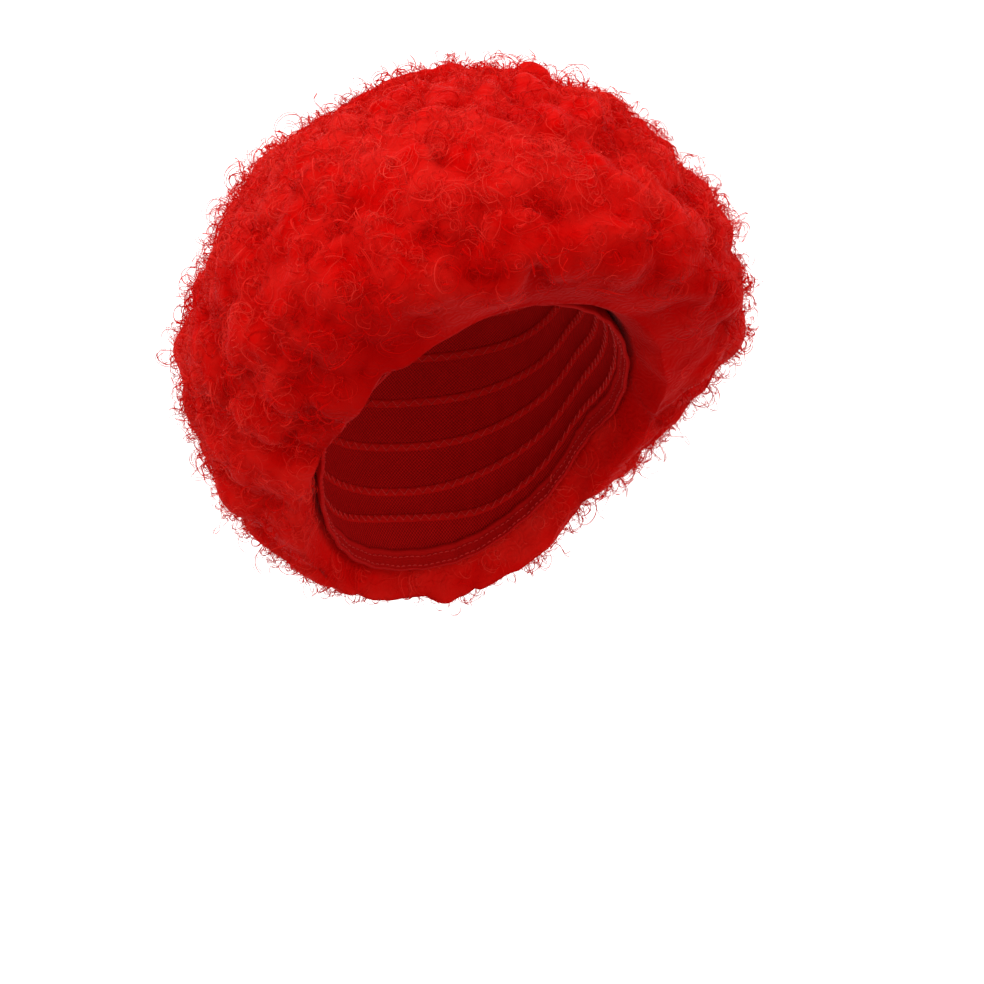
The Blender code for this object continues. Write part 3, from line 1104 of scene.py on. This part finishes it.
def wall_at(tree, turn, azimuth, from_inside):
    """A spot on a wall round the head, met from inside or from outside."""
    way = towards(turn, azimuth)
    if from_inside:
        return tree.ray_cast(CAP_HEART, way, FAR)[0]
    return tree.ray_cast(CAP_HEART + way * FAR, -way, FAR)[0]


def sure_wall(tree, turn, azimuth, from_inside, inside_turn):
    """The same, stepped towards a turn that surely meets the wall where the edge is missed."""
    for step in range(EDGE_TRIES):
        nearer = turn + (inside_turn - turn) * step / EDGE_TRIES
        spot = wall_at(tree, nearer, azimuth, from_inside)
        if spot is not None:
            return spot
    return None


def end_of_wall(tree, azimuth, inside, outside):
    """The turn between the two given ones where a wall ends."""
    return edge_turn(lambda turn: wall_at(tree, turn, azimuth, True) is not None, inside, outside)


seams = [seam_turns(node) for node in hair_nodes if node.startswith("weft")]
cap_ends = np.array([end_of_wall(cap_tree, a, CAP_INSIDE, CAP_OUTSIDE) for a in cap_azimuths])
cap_ends = blur_round(cap_ends, CAP_BLUR) - CAP_TRIM
print("seams:", len(seams), "cap ends at turns", np.round(np.degrees(cap_ends[QUARTERS])))

# %% [markdown]
# ## The net's own shape
# The net has a real thickness here, so that its edge and its shadow look right. Its rings run from
# the crown to the hem on the inside and come back on the outside, closed at the crown by fans.

# %% Build the net
NET_RINGS = 56
NET_WALL = 0.0011
NET_BULGE = 0.0011
PLEATS, PLEAT_WAVES, PLEAT_SWAY = 72, 5, 3
PLEAT_DEPTH = 0.00028
FLAT_NET_RINGS = 4
INSIDE_TURN = 0.5
seam_table = np.array(seams)


def net_relief(turn):
    """Bulge of the net between seams, with fine pleats where a seam gathers it, at each azimuth."""
    gaps = np.abs(seam_table - turn[None, :])
    spacing = np.abs(np.diff(seam_table, axis=0)).mean(axis=0)
    away = np.clip(gaps.min(axis=0) / (spacing / 2), 0, 1)
    sway = PLEAT_SWAY * np.sin(PLEAT_WAVES * cap_azimuths)
    pleats = np.sin(PLEATS * cap_azimuths + sway) * (1 - away)
    return NET_BULGE * np.sin(away * math.pi / 2) ** 2 + PLEAT_DEPTH * pleats


def inner_wall(turn):
    """One ring of the cap's inner wall at a turn for each azimuth."""
    row = [sure_wall(cap_tree, t, a, True, INSIDE_TURN) for t, a in zip(turn, cap_azimuths)]
    return np.array(row)


def out_of_heart(points):
    """Directions from the cap's heart to points."""
    return unit(points - np.array(CAP_HEART))


net_rings = []
for k in range(1, NET_RINGS + 1):
    turn = cap_ends * k / NET_RINGS
    ring = inner_wall(turn)
    fade_in = min(1, k / FLAT_NET_RINGS)
    net_rings.append(ring + out_of_heart(ring) * net_relief(turn)[:, None] * fade_in)
net_rings = np.array(net_rings)
outer_net = net_rings[::-4] + out_of_heart(net_rings[::-4]) * NET_WALL
net_grid = np.concatenate((net_rings, outer_net))
net_radius = np.linalg.norm(net_rings[0] - np.array(CAP_HEART), axis=1).mean()
net_top = np.array(CAP_HEART) + (0, 0, net_radius)
net_points = np.concatenate((net_grid.reshape(-1, 3), [net_top, net_top + (0, 0, NET_WALL)]))
net_count = len(net_grid) * CAP_COLUMNS
net_faces = ring_quads(len(net_grid), CAP_COLUMNS)[:, ::-1]
inner_fan = fan(net_count, 0, CAP_COLUMNS, flip=True)
outer_fan = fan(net_count + 1, net_count - CAP_COLUMNS, CAP_COLUMNS)
net_fans = np.concatenate((inner_fan, outer_fan))
net_cap = mesh_piece("net_cap", net_points, net_faces, net_fans)
print("net cap triangles:", 2 * len(net_faces) + len(net_fans))

# %% [markdown]
# ## Seams and stitches
# Each seam is a narrow raised band, the strip that carries the hair of one row. A groove or a dark
# line would do from far away, but here one looks into the cap from close by.

# %% Lay the bands
BAND_WIDTH = 0.0046
BAND_RISE = 0.0007
BAND_PROFILE = (
    (-0.5, -0.6),
    (-0.5, 0.45),
    (-0.25, 0.95),
    (0.0, 1.0),
    (0.25, 0.95),
    (0.5, 0.45),
    (0.5, -0.6),
)
ACROSS_TURN = 0.02


def seam_frame(turn):
    """Points of a seam's middle on the net, and the directions across it and into the head."""
    middle = inner_wall(turn)
    upper = inner_wall(turn - ACROSS_TURN)
    across = unit(middle - upper)
    along = unit(np.roll(middle, -1, 0) - np.roll(middle, 1, 0))
    return middle, across, unit(np.cross(along, across))


def gather(parts):
    """Join several sets of points and faces into one."""
    points, faces, start = [], [], 0
    for some, quads in parts:
        points.append(some)
        faces.append(quads + start)
        start += len(some)
    return np.concatenate(points), np.concatenate(faces)


def band(turn):
    """A seam's raised band, closed round the head and round its own section."""
    middle, across, inward = seam_frame(turn)
    rows = []
    for side, rise in BAND_PROFILE:
        rows.append(middle + across * BAND_WIDTH * side + inward * BAND_RISE * rise)
    return np.concatenate(rows), ring_quads(len(rows), CAP_COLUMNS, closed=True)


def triangles_of(piece):
    """How many triangles a piece made of quads has."""
    return 2 * len(piece.data.polygons)


seam_bands = mesh_piece("seam_bands", *gather([band(turn) for turn in seams]))
print("band triangles:", triangles_of(seam_bands))

# %% [markdown]
# ## The zigzag
# A thread zigzags over each band. It is a thin round tube with a corner at every stitch: a picture
# of stitches would be flat when seen from the side.

# %% Sew the seams
THREAD = 0.00028
THREAD_ANGLES = [2 * math.pi * k / 4 for k in range(4)]
STITCH_STEP = 0.0026
STITCH_SWING, STITCH_RISE = 0.36, 1.15


def thread_along(path, along, beside, angles, closed):
    """A thin round thread along a path, as points and faces. `beside` leans away from the path."""
    first = unit(np.cross(along, beside))
    second = np.cross(along, first)
    rings = [path + THREAD * (first * math.cos(a) + second * math.sin(a)) for a in angles]
    points = np.stack(rings, axis=1).reshape(-1, 3)
    sides = len(angles)
    i = np.arange(len(path) if closed else len(path) - 1)[:, None] * sides
    j = (i + sides) % len(points)
    k = np.arange(sides)[None, :]
    m = (k + 1) % sides
    return points, np.stack((i + k, j + k, j + m, i + m), axis=-1).reshape(-1, 4)


def seam_thread(path):
    """The thread of one seam, closed round the head."""
    along = unit(np.roll(path, -1, 0) - np.roll(path, 1, 0))
    return thread_along(path, along, out_of_heart(path), THREAD_ANGLES, True)


def zigzag(turn):
    """The thread over a seam, one corner for each stitch."""
    middle, across, inward = seam_frame(turn)
    length = np.linalg.norm(np.roll(middle, -1, 0) - middle, axis=1).sum()
    corners = max(2 * round(length / STITCH_STEP / 2), 12)
    at = np.arange(corners) / corners * CAP_COLUMNS
    low = at.astype(int) % CAP_COLUMNS
    part = (at - np.floor(at))[:, None]

    def read(values):
        """Values at the corners."""
        return values[low] * (1 - part) + values[(low + 1) % CAP_COLUMNS] * part

    side = np.where(np.arange(corners) % 2, STITCH_SWING, -STITCH_SWING)[:, None]
    return read(middle) + read(across) * BAND_WIDTH * side + read(inward) * BAND_RISE * STITCH_RISE


seam_threads = mesh_piece("seam_threads", *gather([seam_thread(zigzag(turn)) for turn in seams]))
print("thread triangles:", triangles_of(seam_threads))

# %% [markdown]
# ## The elastic hem
# The rim is a folded strip of ribbed elastic, sewn down with two rows of short stitches. Its
# section goes down the inside with fine ribs, round the fold at the rim, and up the plain outside.
# A narrow lip on top covers the net's edge. The strip pulls the edge into a slight ripple. Lofting
# a section along a curve would do for an even strip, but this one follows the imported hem.

# %% Find the hem's edges
LEAST_SHARE = 0.015
BELOW_CAP, SEARCH_DOWN, SEARCH_UP = 0.045, 0.5, 0.3


def hem_turns():
    """Turns of the hem's lower and upper edge at each azimuth."""
    low, high = [], []
    for end, azimuth in zip(cap_ends, cap_azimuths):
        start = end + BELOW_CAP
        low.append(end_of_wall(hem_tree, azimuth, start, start + SEARCH_DOWN))
        high.append(end_of_wall(hem_tree, azimuth, start, start - SEARCH_UP))
    return blur_round(np.array(low), CAP_BLUR), blur_round(np.array(high), CAP_BLUR)


hem_low, hem_high = hem_turns()


def hem_row(share, inside):
    """A row of points along the hem, from its upper edge (0) to its lower edge (1)."""
    turn = hem_high + (hem_low - hem_high) * np.clip(share, LEAST_SHARE, 1 - LEAST_SHARE)
    middle = (hem_high + hem_low) / 2
    row = [sure_wall(hem_tree, t, a, inside, m) for t, a, m in zip(turn, cap_azimuths, middle)]
    return np.array(row)


hem_heights = hem_row(0, True)[QUARTERS, 2] - hem_row(1, True)[QUARTERS, 2]
print("height of the hem at face, side and nape in mm:", np.round(hem_heights * 1000))

# %% [markdown]
# ## Rows of the hem
# The section is walked row by row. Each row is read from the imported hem, then moved a little for a
# rib, the fold or the lip, so the looks keep the true size of the hem all round.

# %% Build the hem
HEM_RIBS = 6
RIB_DEPTH = 0.00022
RIB_STEPS = 19
OUTER_STEPS = 6
RIPPLE, RIPPLES, RIPPLE_WAVES, RIPPLE_SWAY = 0.00035, 34, 3, 2
FOLD = 0.12
CLEARANCE, LIP_OVERLAP = 0.0002, 0.0001
LIP_WIDTH, LIP_RISE = 0.0022, 0.0006


def between(a, b):
    """Two rows that lead over from one row to another."""
    return [a * 0.75 + b * 0.25, a * 0.25 + b * 0.75]


def raised(row, height):
    """A row of points, moved towards the cap's heart by a height."""
    return row - out_of_heart(row) * height


def build_hem():
    """The hem's mesh, and the grid of its rows."""
    rows = []
    for k in range(RIB_STEPS):
        share = FOLD / 2 + (1 - FOLD) * k / (RIB_STEPS - 1)
        row = hem_row(share, True)
        ribs = RIB_DEPTH * (0.5 - 0.5 * math.cos(2 * math.pi * HEM_RIBS * k / (RIB_STEPS - 1)))
        rows.append(row + out_of_heart(row) * (CLEARANCE + ribs))
    rows += between(hem_row(1, True), hem_row(1, False))
    for k in range(OUTER_STEPS):
        share = 1 - FOLD / 2 - (1 - FOLD) * k / (OUTER_STEPS - 1)
        rows.append(raised(hem_row(share, False), CLEARANCE))
    upper_inside = hem_row(0, True)
    rows += [between(hem_row(0, False), upper_inside)[0], upper_inside]
    net_edge = inner_wall(cap_ends)
    lip_turn = LIP_WIDTH / np.linalg.norm(net_edge - np.array(CAP_HEART), axis=1)
    lip = inner_wall(cap_ends - lip_turn)
    rows += [raised(net_edge, LIP_OVERLAP), raised(lip, LIP_OVERLAP)]
    rows += [raised(lip, LIP_RISE), raised(net_edge, LIP_RISE)]
    grid = np.array(rows)
    sway = RIPPLE_SWAY * np.sin(RIPPLE_WAVES * cap_azimuths)
    ripple = RIPPLE * np.sin(RIPPLES * cap_azimuths + sway)
    grid = grid + out_of_heart(grid) * ripple[None, :, None]
    quads = ring_quads(len(grid), CAP_COLUMNS, closed=True)[:, ::-1]
    return mesh_piece("ribbed_hem", grid.reshape(-1, 3), quads), grid


ribbed_hem, hem_grid = build_hem()
print("hem triangles:", triangles_of(ribbed_hem))

# %% [markdown]
# ## Stitches in the hem
# A sewing machine leaves a row of short threads that dive into the cloth at both ends. Each is a
# small arched thread of its own, because their shadows are what makes a seam look sewn.

# %% Sew the hem
HEM_STITCH = 0.0034
STITCH_FILL = 0.62
STITCH_ARCH = 0.00035
STITCH_PROFILE = ((0.0, -0.6), (0.2, 0.7), (0.5, 1.0), (0.8, 0.7), (1.0, -0.6))
STITCH_ANGLES = (0, 2.1, 4.2)
STITCH_LEAN = 0.01
STITCH_ROWS = (3, 15)


def short_stitches(row, away):
    """Separate short threads along a closed row of points, each arched off the cloth."""
    steps = np.linalg.norm(np.roll(row, -1, 0) - row, axis=1)
    along = np.concatenate(([0], np.cumsum(steps)))
    count = int(along[-1] / HEM_STITCH)
    closed, closed_away = np.concatenate((row, row[:1])), np.concatenate((away, away[:1]))

    def read(values, at):
        """A spot or a direction at a distance along the row."""
        return np.array([np.interp(at, along, values[:, axis]) for axis in range(3)])

    parts = []
    for k in range(count):
        path = []
        for part, arch in STITCH_PROFILE:
            at = along[-1] * (k + STITCH_FILL * part) / count
            path.append(read(closed, at) + read(closed_away, at) * STITCH_ARCH * arch)
        path = np.array(path)
        line = unit(np.gradient(path, axis=0))
        parts.append(thread_along(path, line, away[0] + STITCH_LEAN, STITCH_ANGLES, False))
    return parts


stitch_parts = []
for row in STITCH_ROWS:
    stitch_parts += short_stitches(hem_grid[row], -out_of_heart(hem_grid[row]))
hem_stitches = mesh_piece("hem_stitches", *gather(stitch_parts))
print("hem stitches:", len(stitch_parts))

# %% [markdown]
# ## How fibre takes colour
# The fibre is one bright red, but it never looks flat: strands differ a little, tips catch more
# light, painted as a paler red, and the depths between the puffs are painted darker and purer as
# shade. Both hair materials share one node group for this, with the amounts as its inputs. Relief
# comes from a second group.

# %% Helpers for node groups


def new_group(name, inputs, outputs):
    """A shader node group with named sockets. Each input is a name, a kind and a value."""
    group = bpy.data.node_groups.new(name, "ShaderNodeTree")
    for title, kind, value in inputs:
        socket = group.interface.new_socket(name=title, in_out="INPUT", socket_type=kind)
        socket.default_value = value
    for title, kind in outputs:
        group.interface.new_socket(name=title, in_out="OUTPUT", socket_type=kind)
    return group


def add_node(tree, kind, links=(), **settings):
    """A node with its settings and its inputs, which are values or other nodes' outputs."""
    node = tree.nodes.new(kind)
    for title, value in settings.items():
        setattr(node, title, value)
    for socket, value in links:
        if isinstance(value, bpy.types.NodeSocket):
            tree.links.new(value, node.inputs[socket])
        else:
            node.inputs[socket].default_value = value
    return node


def mix_colour(tree, factor, a, b):
    """Mix two colours by a factor between 0 and 1."""
    links = [(0, factor), (6, a), (7, b)]
    return add_node(tree, "ShaderNodeMix", links, data_type="RGBA").outputs[2]


def maths(tree, operation, a, b=0.0, c=0.0):
    """The result of a sum, a product or the like."""
    links = [(0, a), (1, b), (2, c)]
    return add_node(tree, "ShaderNodeMath", links, operation=operation).outputs[0]


def steps_between(tree, value, low, high):
    """How far a value stands between two others, from 0 to 1."""
    links = [("Value", value), ("From Min", low), ("From Max", high)]
    return add_node(tree, "ShaderNodeMapRange", links).outputs["Result"]


def noise_at(tree, place, scale, detail, roughness=0.5):
    """A noise texture's node."""
    links = [("Vector", place), ("Scale", scale), ("Detail", detail), ("Roughness", roughness)]
    return add_node(tree, "ShaderNodeTexNoise", links)


def group_ends(group):
    """The nodes that bring a group's inputs in and its outputs out."""
    return group.nodes.new("NodeGroupInput"), group.nodes.new("NodeGroupOutput")


print("helpers for nodes are ready")

# %% [markdown]
# ## The colour of curled fibre
# Three reds are mixed: a deep one painted in as shade for the hollows, the fibre's own, and a paler
# one painted in as light for tips and the tops of puffs. A slow noise shifts the mix from patch to
# patch, as no two locks take dye and light alike.

# %% Build the colour group
PATCH_DETAIL, PATCH_ROUGHNESS = 3.0, 0.6
MIDDLE_TONE = 0.45


def fibre_tone_group():
    """Colour of curled fibre: strand by strand, with painted shade in the hollows."""
    group = new_group(
        "fibre_tone",
        (
            ("Deep Shade", "NodeSocketColor", (0.3, 0.001, 0.001, 1)),
            ("Body", "NodeSocketColor", (0.6, 0.003, 0.002, 1)),
            ("Lit", "NodeSocketColor", (0.8, 0.02, 0.015, 1)),
            ("Tone", "NodeSocketFloat", 0.5),
            ("Painted Shade", "NodeSocketFloat", 0.0),
            ("Patch Scale", "NodeSocketFloat", 45.0),
            ("Patch Amount", "NodeSocketFloat", 0.3),
        ),
        (("Color", "NodeSocketColor"),),
    )
    start, end = group_ends(group)
    given = start.outputs
    place = add_node(group, "ShaderNodeTexCoord").outputs["Object"]
    patches = noise_at(group, place, given["Patch Scale"], PATCH_DETAIL, PATCH_ROUGHNESS)
    centred = maths(group, "SUBTRACT", patches.outputs["Fac"], 0.5)
    shifted = maths(group, "MULTIPLY_ADD", centred, given["Patch Amount"], given["Tone"])
    # A tone above the middle is painted light towards the lit red, below it painted shade towards
    # the deep red, with the random patches mixed in.
    light = steps_between(group, shifted, MIDDLE_TONE, 1.0)
    dark = steps_between(group, shifted, MIDDLE_TONE, 0.0)
    colour = mix_colour(group, light, given["Body"], given["Lit"])
    colour = mix_colour(group, dark, colour, given["Deep Shade"])
    # Painted shade: the hollows and the hair near the hem are mixed towards the deep red.
    colour = mix_colour(group, given["Painted Shade"], colour, given["Deep Shade"])
    group.links.new(colour, end.inputs["Color"])
    return group


fibre_tone = fibre_tone_group()
print("colour group:", fibre_tone.name, "with", len(fibre_tone.nodes), "nodes")

# %% [markdown]
# ## The relief of packed curls
# Between the strands the dense hair still shows the ends of fine curls. Rings round scattered
# centres, bent by a noise and crossed by a finer one, give that for far fewer faces than strands.

# %% Build the relief group
CRINKLE_SCALE, THREAD_SCALE = 140.0, 620.0
RING_SHARE = 0.35


def curl_relief_group():
    """Height of fine rings round scattered centres, like the ends of packed curls."""
    group = new_group(
        "curl_relief",
        (
            ("Curl Scale", "NodeSocketFloat", 90.0),
            ("Rings", "NodeSocketFloat", 26.0),
            ("Wobble", "NodeSocketFloat", 0.004),
        ),
        (("Height", "NodeSocketFloat"),),
    )
    start, end = group_ends(group)
    given = start.outputs
    kind = "ShaderNodeVectorMath"
    place = add_node(group, "ShaderNodeTexCoord").outputs["Object"]
    crinkle = noise_at(group, place, CRINKLE_SCALE, 2.0).outputs["Color"]
    centred = [(0, crinkle), (1, (0.5, 0.5, 0.5))]
    offset = add_node(group, kind, centred, operation="SUBTRACT").outputs[0]
    amount = [(0, offset), ("Scale", given["Wobble"])]
    scaled = add_node(group, kind, amount, operation="SCALE").outputs[0]
    moved = add_node(group, kind, [(0, place), (1, scaled)], operation="ADD").outputs[0]
    around = [("Vector", moved), ("Scale", given["Curl Scale"])]
    distance = add_node(group, "ShaderNodeTexVoronoi", around).outputs["Distance"]
    rings = maths(group, "SINE", maths(group, "MULTIPLY", distance, given["Rings"]))
    threads = noise_at(group, moved, THREAD_SCALE, 4.0).outputs["Fac"]
    height = maths(group, "MULTIPLY_ADD", rings, RING_SHARE, threads)
    group.links.new(height, end.inputs["Height"])
    return group


curl_relief = curl_relief_group()
print("relief group:", curl_relief.name, "with", len(curl_relief.nodes), "nodes")

# %% [markdown]
# ## The hair materials
# The dense body and the loose strands share their reds. Polyester fibre is soft and slightly
# glossy, so the gloss is low and broad, with a little sheen that lightens the edges of puffs. A
# hair shader would suit it too, but it only works on curves, and these strands are meshes.

# %% Mix the hair materials
# The deep red is painted shade for the hollows; the lit red is a paler painted highlight for the
# tops of puffs and the tips.
DEEP_SHADE_RED = (0.45, 0.0005, 0.0004, 1.0)
FIBRE_RED = (0.70, 0.0017, 0.0010, 1.0)
LIT_RED = (0.92, 0.060, 0.042, 1.0)
GLOSS_TINT = (1.0, 0.22, 0.18, 1.0)
SHEEN, SHEEN_ROUGHNESS = 0.07, 0.35
SHEEN_TINT = (1.0, 0.55, 0.55, 1.0)
DENSE_ROUGHNESS, DENSE_GLOSS = 0.62, 0.015
LOOSE_ROUGHNESS, LOOSE_GLOSS = 0.6, 0.025
CURL_STRENGTH, CURL_DEPTH = 0.5, 0.0006


def fibre_material(name, attribute, roughness, gloss):
    """A material for hair, whose tone or painted shade is read from the mesh."""
    material, shader = new_material(name, roughness, gloss, GLOSS_TINT)
    tree = material.node_tree
    shader.inputs["Sheen Weight"].default_value = SHEEN
    shader.inputs["Sheen Roughness"].default_value = SHEEN_ROUGHNESS
    shader.inputs["Sheen Tint"].default_value = SHEEN_TINT
    painted = add_node(tree, "ShaderNodeAttribute", attribute_name=attribute).outputs["Fac"]
    tone = add_node(tree, "ShaderNodeGroup", node_tree=fibre_tone)
    tone.inputs["Deep Shade"].default_value = DEEP_SHADE_RED
    tone.inputs["Body"].default_value = FIBRE_RED
    tone.inputs["Lit"].default_value = LIT_RED
    # The body's painted shade, or the strands' tone with its painted light and shade, drives the
    # colour.
    tree.links.new(painted, tone.inputs["Painted Shade" if attribute == "painted_shade" else "Tone"])
    tree.links.new(tone.outputs["Color"], shader.inputs["Base Color"])
    return material, tone


def add_relief(material, height, strength, distance):
    """Fine relief on a material, through its Normal."""
    tree = material.node_tree
    links = [("Height", height), ("Strength", strength), ("Distance", distance)]
    bump = add_node(tree, "ShaderNodeBump", links)
    tree.links.new(bump.outputs["Normal"], tree.nodes["Principled BSDF"].inputs["Normal"])


dense_fibre, dense_tone = fibre_material("dense_fibre", "painted_shade", DENSE_ROUGHNESS, DENSE_GLOSS)
dense_tone.inputs["Patch Amount"].default_value = 0.35
curls_seen = add_node(dense_fibre.node_tree, "ShaderNodeGroup", node_tree=curl_relief)
add_relief(dense_fibre, curls_seen.outputs["Height"], CURL_STRENGTH, CURL_DEPTH)
loose_fibre, loose_tone = fibre_material("loose_fibre", "tone", LOOSE_ROUGHNESS, LOOSE_GLOSS)
loose_tone.inputs["Patch Scale"].default_value = 70.0
hair_body.data.materials.append(dense_fibre)
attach(hair_body, "root")
print("hair materials:", dense_fibre.name, loose_fibre.name)

# %% [markdown]
# ## The strands' meshes
# Thousands of strands as objects of their own would be slow and hard to handle. All strands that
# root in one packed ring of hair become one piece, which takes that ring's place.

# %% Join the strands, one mesh for each ring of hair
strand_triangles = 0
for place, node in enumerate(hair_nodes):
    name = node.replace("weft_row", "curls_row").replace("crown_tuft", "curls_crown")
    curls = strands.mesh(name, place)
    curls.data.materials.append(loose_fibre)
    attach(curls, "root")
    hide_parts(node)
    strand_triangles += triangles_of(curls)
print("strand triangles:", strand_triangles)

# %% [markdown]
# ## Net, elastic and thread
# The net is a fine warp knit: small round holes in staggered rows, which no mesh of this size
# could hold, so a node group draws them from the place on the cap. Elastic is a dense weave of
# crossing threads, made by a second group. Both put out a mask that drives colour and relief.

# %% Write the places on the cap into a map
HEAD_ROUND = 0.56


def map_round(piece):
    """A map that runs round the head in metres and down the cap in metres."""
    spots = np.array([vertex.co for vertex in piece.data.vertices])
    away = spots - np.array(CAP_HEART)
    around = np.arctan2(away[:, 0], -away[:, 1]) / (2 * math.pi) * HEAD_ROUND
    down = turn_from(spots, CAP_HEART) * HEAD_ROUND / (2 * math.pi)
    corners = np.empty(len(piece.data.loops), np.int32)
    piece.data.loops.foreach_get("vertex_index", corners)
    layer = piece.data.uv_layers.new(name="round_the_head")
    u, v = around[corners], down[corners]
    starts = np.empty(len(piece.data.polygons), np.int32)
    piece.data.polygons.foreach_get("loop_start", starts)
    sizes = np.diff(np.append(starts, len(corners)))
    face_of = np.repeat(np.arange(len(starts)), sizes)
    furthest = np.full(len(starts), -np.inf)
    np.maximum.at(furthest, face_of, u)
    u = np.where(furthest[face_of] - u > HEAD_ROUND / 2, u + HEAD_ROUND, u)
    layer.data.foreach_set("uv", np.stack((u, v), axis=-1).astype(np.float32).ravel())


mapped = (net_cap, seam_bands, ribbed_hem)
for piece in mapped:
    map_round(piece)
print("mapped:", [piece.name for piece in mapped])

# %% [markdown]
# ## Lattice and weave
# Both are sharp at any size, and cost no faces.

# %% Draw the lattice and the weave


def lattice_group(name):
    """Round holes in staggered rows: 1 on the threads, 0 in the holes."""
    group = new_group(
        name,
        (
            ("Place", "NodeSocketVector", (0, 0, 0)),
            ("Pitch", "NodeSocketFloat", 0.0018),
            ("Hole", "NodeSocketFloat", 0.55),
            ("Softness", "NodeSocketFloat", 0.35),
        ),
        (("Threads", "NodeSocketFloat"),),
    )
    start, end = group_ends(group)
    given = start.outputs
    axes = add_node(group, "ShaderNodeSeparateXYZ", [("Vector", given["Place"])])
    turns = maths(group, "DIVIDE", 2 * math.pi, given["Pitch"])
    wave_x, wave_y = (
        maths(group, "COSINE", maths(group, "MULTIPLY", axes.outputs[axis], turns)) for axis in "XY"
    )
    both = maths(group, "ABSOLUTE", maths(group, "ADD", wave_x, wave_y))
    rim = maths(group, "ADD", given["Hole"], given["Softness"])
    group.links.new(steps_between(group, both, rim, given["Hole"]), end.inputs["Threads"])
    return group


def weave_group(name):
    """Crossing threads of a tight elastic: their height, from 0 in the gaps to 1 on top."""
    group = new_group(
        name,
        (
            ("Place", "NodeSocketVector", (0, 0, 0)),
            ("Across", "NodeSocketFloat", 0.0009),
            ("Along", "NodeSocketFloat", 0.0007),
        ),
        (("Height", "NodeSocketFloat"),),
    )
    start, end = group_ends(group)
    axes = add_node(group, "ShaderNodeSeparateXYZ", [("Vector", start.outputs["Place"])])
    waves = []
    for axis, pitch in (("X", "Along"), ("Y", "Across")):
        turns = maths(group, "DIVIDE", 2 * math.pi, start.outputs[pitch])
        waves.append(maths(group, "SINE", maths(group, "MULTIPLY", axes.outputs[axis], turns)))
    crossing = maths(group, "MULTIPLY", *waves)
    group.links.new(maths(group, "MULTIPLY_ADD", crossing, 0.5, 0.5), end.inputs["Height"])
    return group


lattice = lattice_group("net_lattice")
weave = weave_group("elastic_weave")
print("cloth groups:", lattice.name, weave.name)

# %% [markdown]
# ## The cloth materials
# Net, bands and elastic are matt knits and weaves in the hair's own red, and only their patterns
# differ, so one function mixes all three. Thread is smoother, a little glossier, and paler.

# %% Mix the cloth materials
NET_RED = (0.60, 0.0060, 0.0060, 1.0)
NET_DEEP = (0.27, 0.0014, 0.0016, 1.0)
BAND_RED = (0.66, 0.0060, 0.0050, 1.0)
BAND_DEEP = (0.44, 0.0025, 0.0022, 1.0)
THREAD_RED = (0.85, 0.040, 0.034, 1.0)
HEM_RED = (0.60, 0.0060, 0.0060, 1.0)
HEM_DEEP = (0.38, 0.0025, 0.0025, 1.0)
CLOTH_ROUGHNESS, CLOTH_GLOSS, THREAD_ROUGHNESS = 0.75, 0.12, 0.45
CLOUD_SCALE, TWIST_SCALE = 60.0, 900.0
WEAR_SLOPE, WEAR_SHIFT = 0.5, -0.1


def cloth_material(name, group, output, high, low, strength, distance, **amounts):
    """Cloth whose threads come from a group that reads the map round the head."""
    material, shader = new_material(name, CLOTH_ROUGHNESS, CLOTH_GLOSS, GLOSS_TINT)
    tree = material.node_tree
    place = add_node(tree, "ShaderNodeUVMap", uv_map="round_the_head").outputs["UV"]
    pattern = add_node(tree, "ShaderNodeGroup", [("Place", place)], node_tree=group)
    for title, value in amounts.items():
        pattern.inputs[title].default_value = value
    spot = add_node(tree, "ShaderNodeTexCoord").outputs["Object"]
    cloud = noise_at(tree, spot, CLOUD_SCALE, 3.0).outputs["Fac"]
    worn = maths(tree, "MULTIPLY_ADD", cloud, WEAR_SLOPE, WEAR_SHIFT)
    colour = mix_colour(tree, pattern.outputs[output], low, high)
    tree.links.new(mix_colour(tree, worn, colour, low), shader.inputs["Base Color"])
    add_relief(material, pattern.outputs[output], strength, distance)
    return material


def thread_material():
    """Round polyester thread, a little glossier than the net, with a fine twist."""
    material, shader = new_material("sewing_thread", THREAD_ROUGHNESS, PLAIN_GLOSS)
    tree = material.node_tree
    spot = add_node(tree, "ShaderNodeTexCoord").outputs["Object"]
    ply = noise_at(tree, spot, TWIST_SCALE, 2.0).outputs["Fac"]
    tree.links.new(mix_colour(tree, ply, THREAD_RED, BAND_DEEP), shader.inputs["Base Color"])
    return material


stretch_net = cloth_material("stretch_net", lattice, "Threads", NET_RED, NET_DEEP, 0.8, 0.0003)
seam_weft = cloth_material(
    "seam_weft", weave, "Height", BAND_RED, BAND_DEEP, 0.7, 0.0002, Across=0.0046, Along=0.0006
)
ribbed_elastic = cloth_material("ribbed_elastic", weave, "Height", HEM_RED, HEM_DEEP, 0.7, 0.0002)
sewing_thread = thread_material()
for piece, material, slot in (
    (net_cap, stretch_net, "net"),
    (seam_bands, seam_weft, "net"),
    (seam_threads, sewing_thread, "net"),
    (ribbed_hem, ribbed_elastic, "elastic"),
    (hem_stitches, sewing_thread, "elastic"),
):
    piece.data.materials.append(material)
    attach(piece, "root")
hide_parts("cap_net")
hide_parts("elastic_hem")
print("cloth pieces dressed")
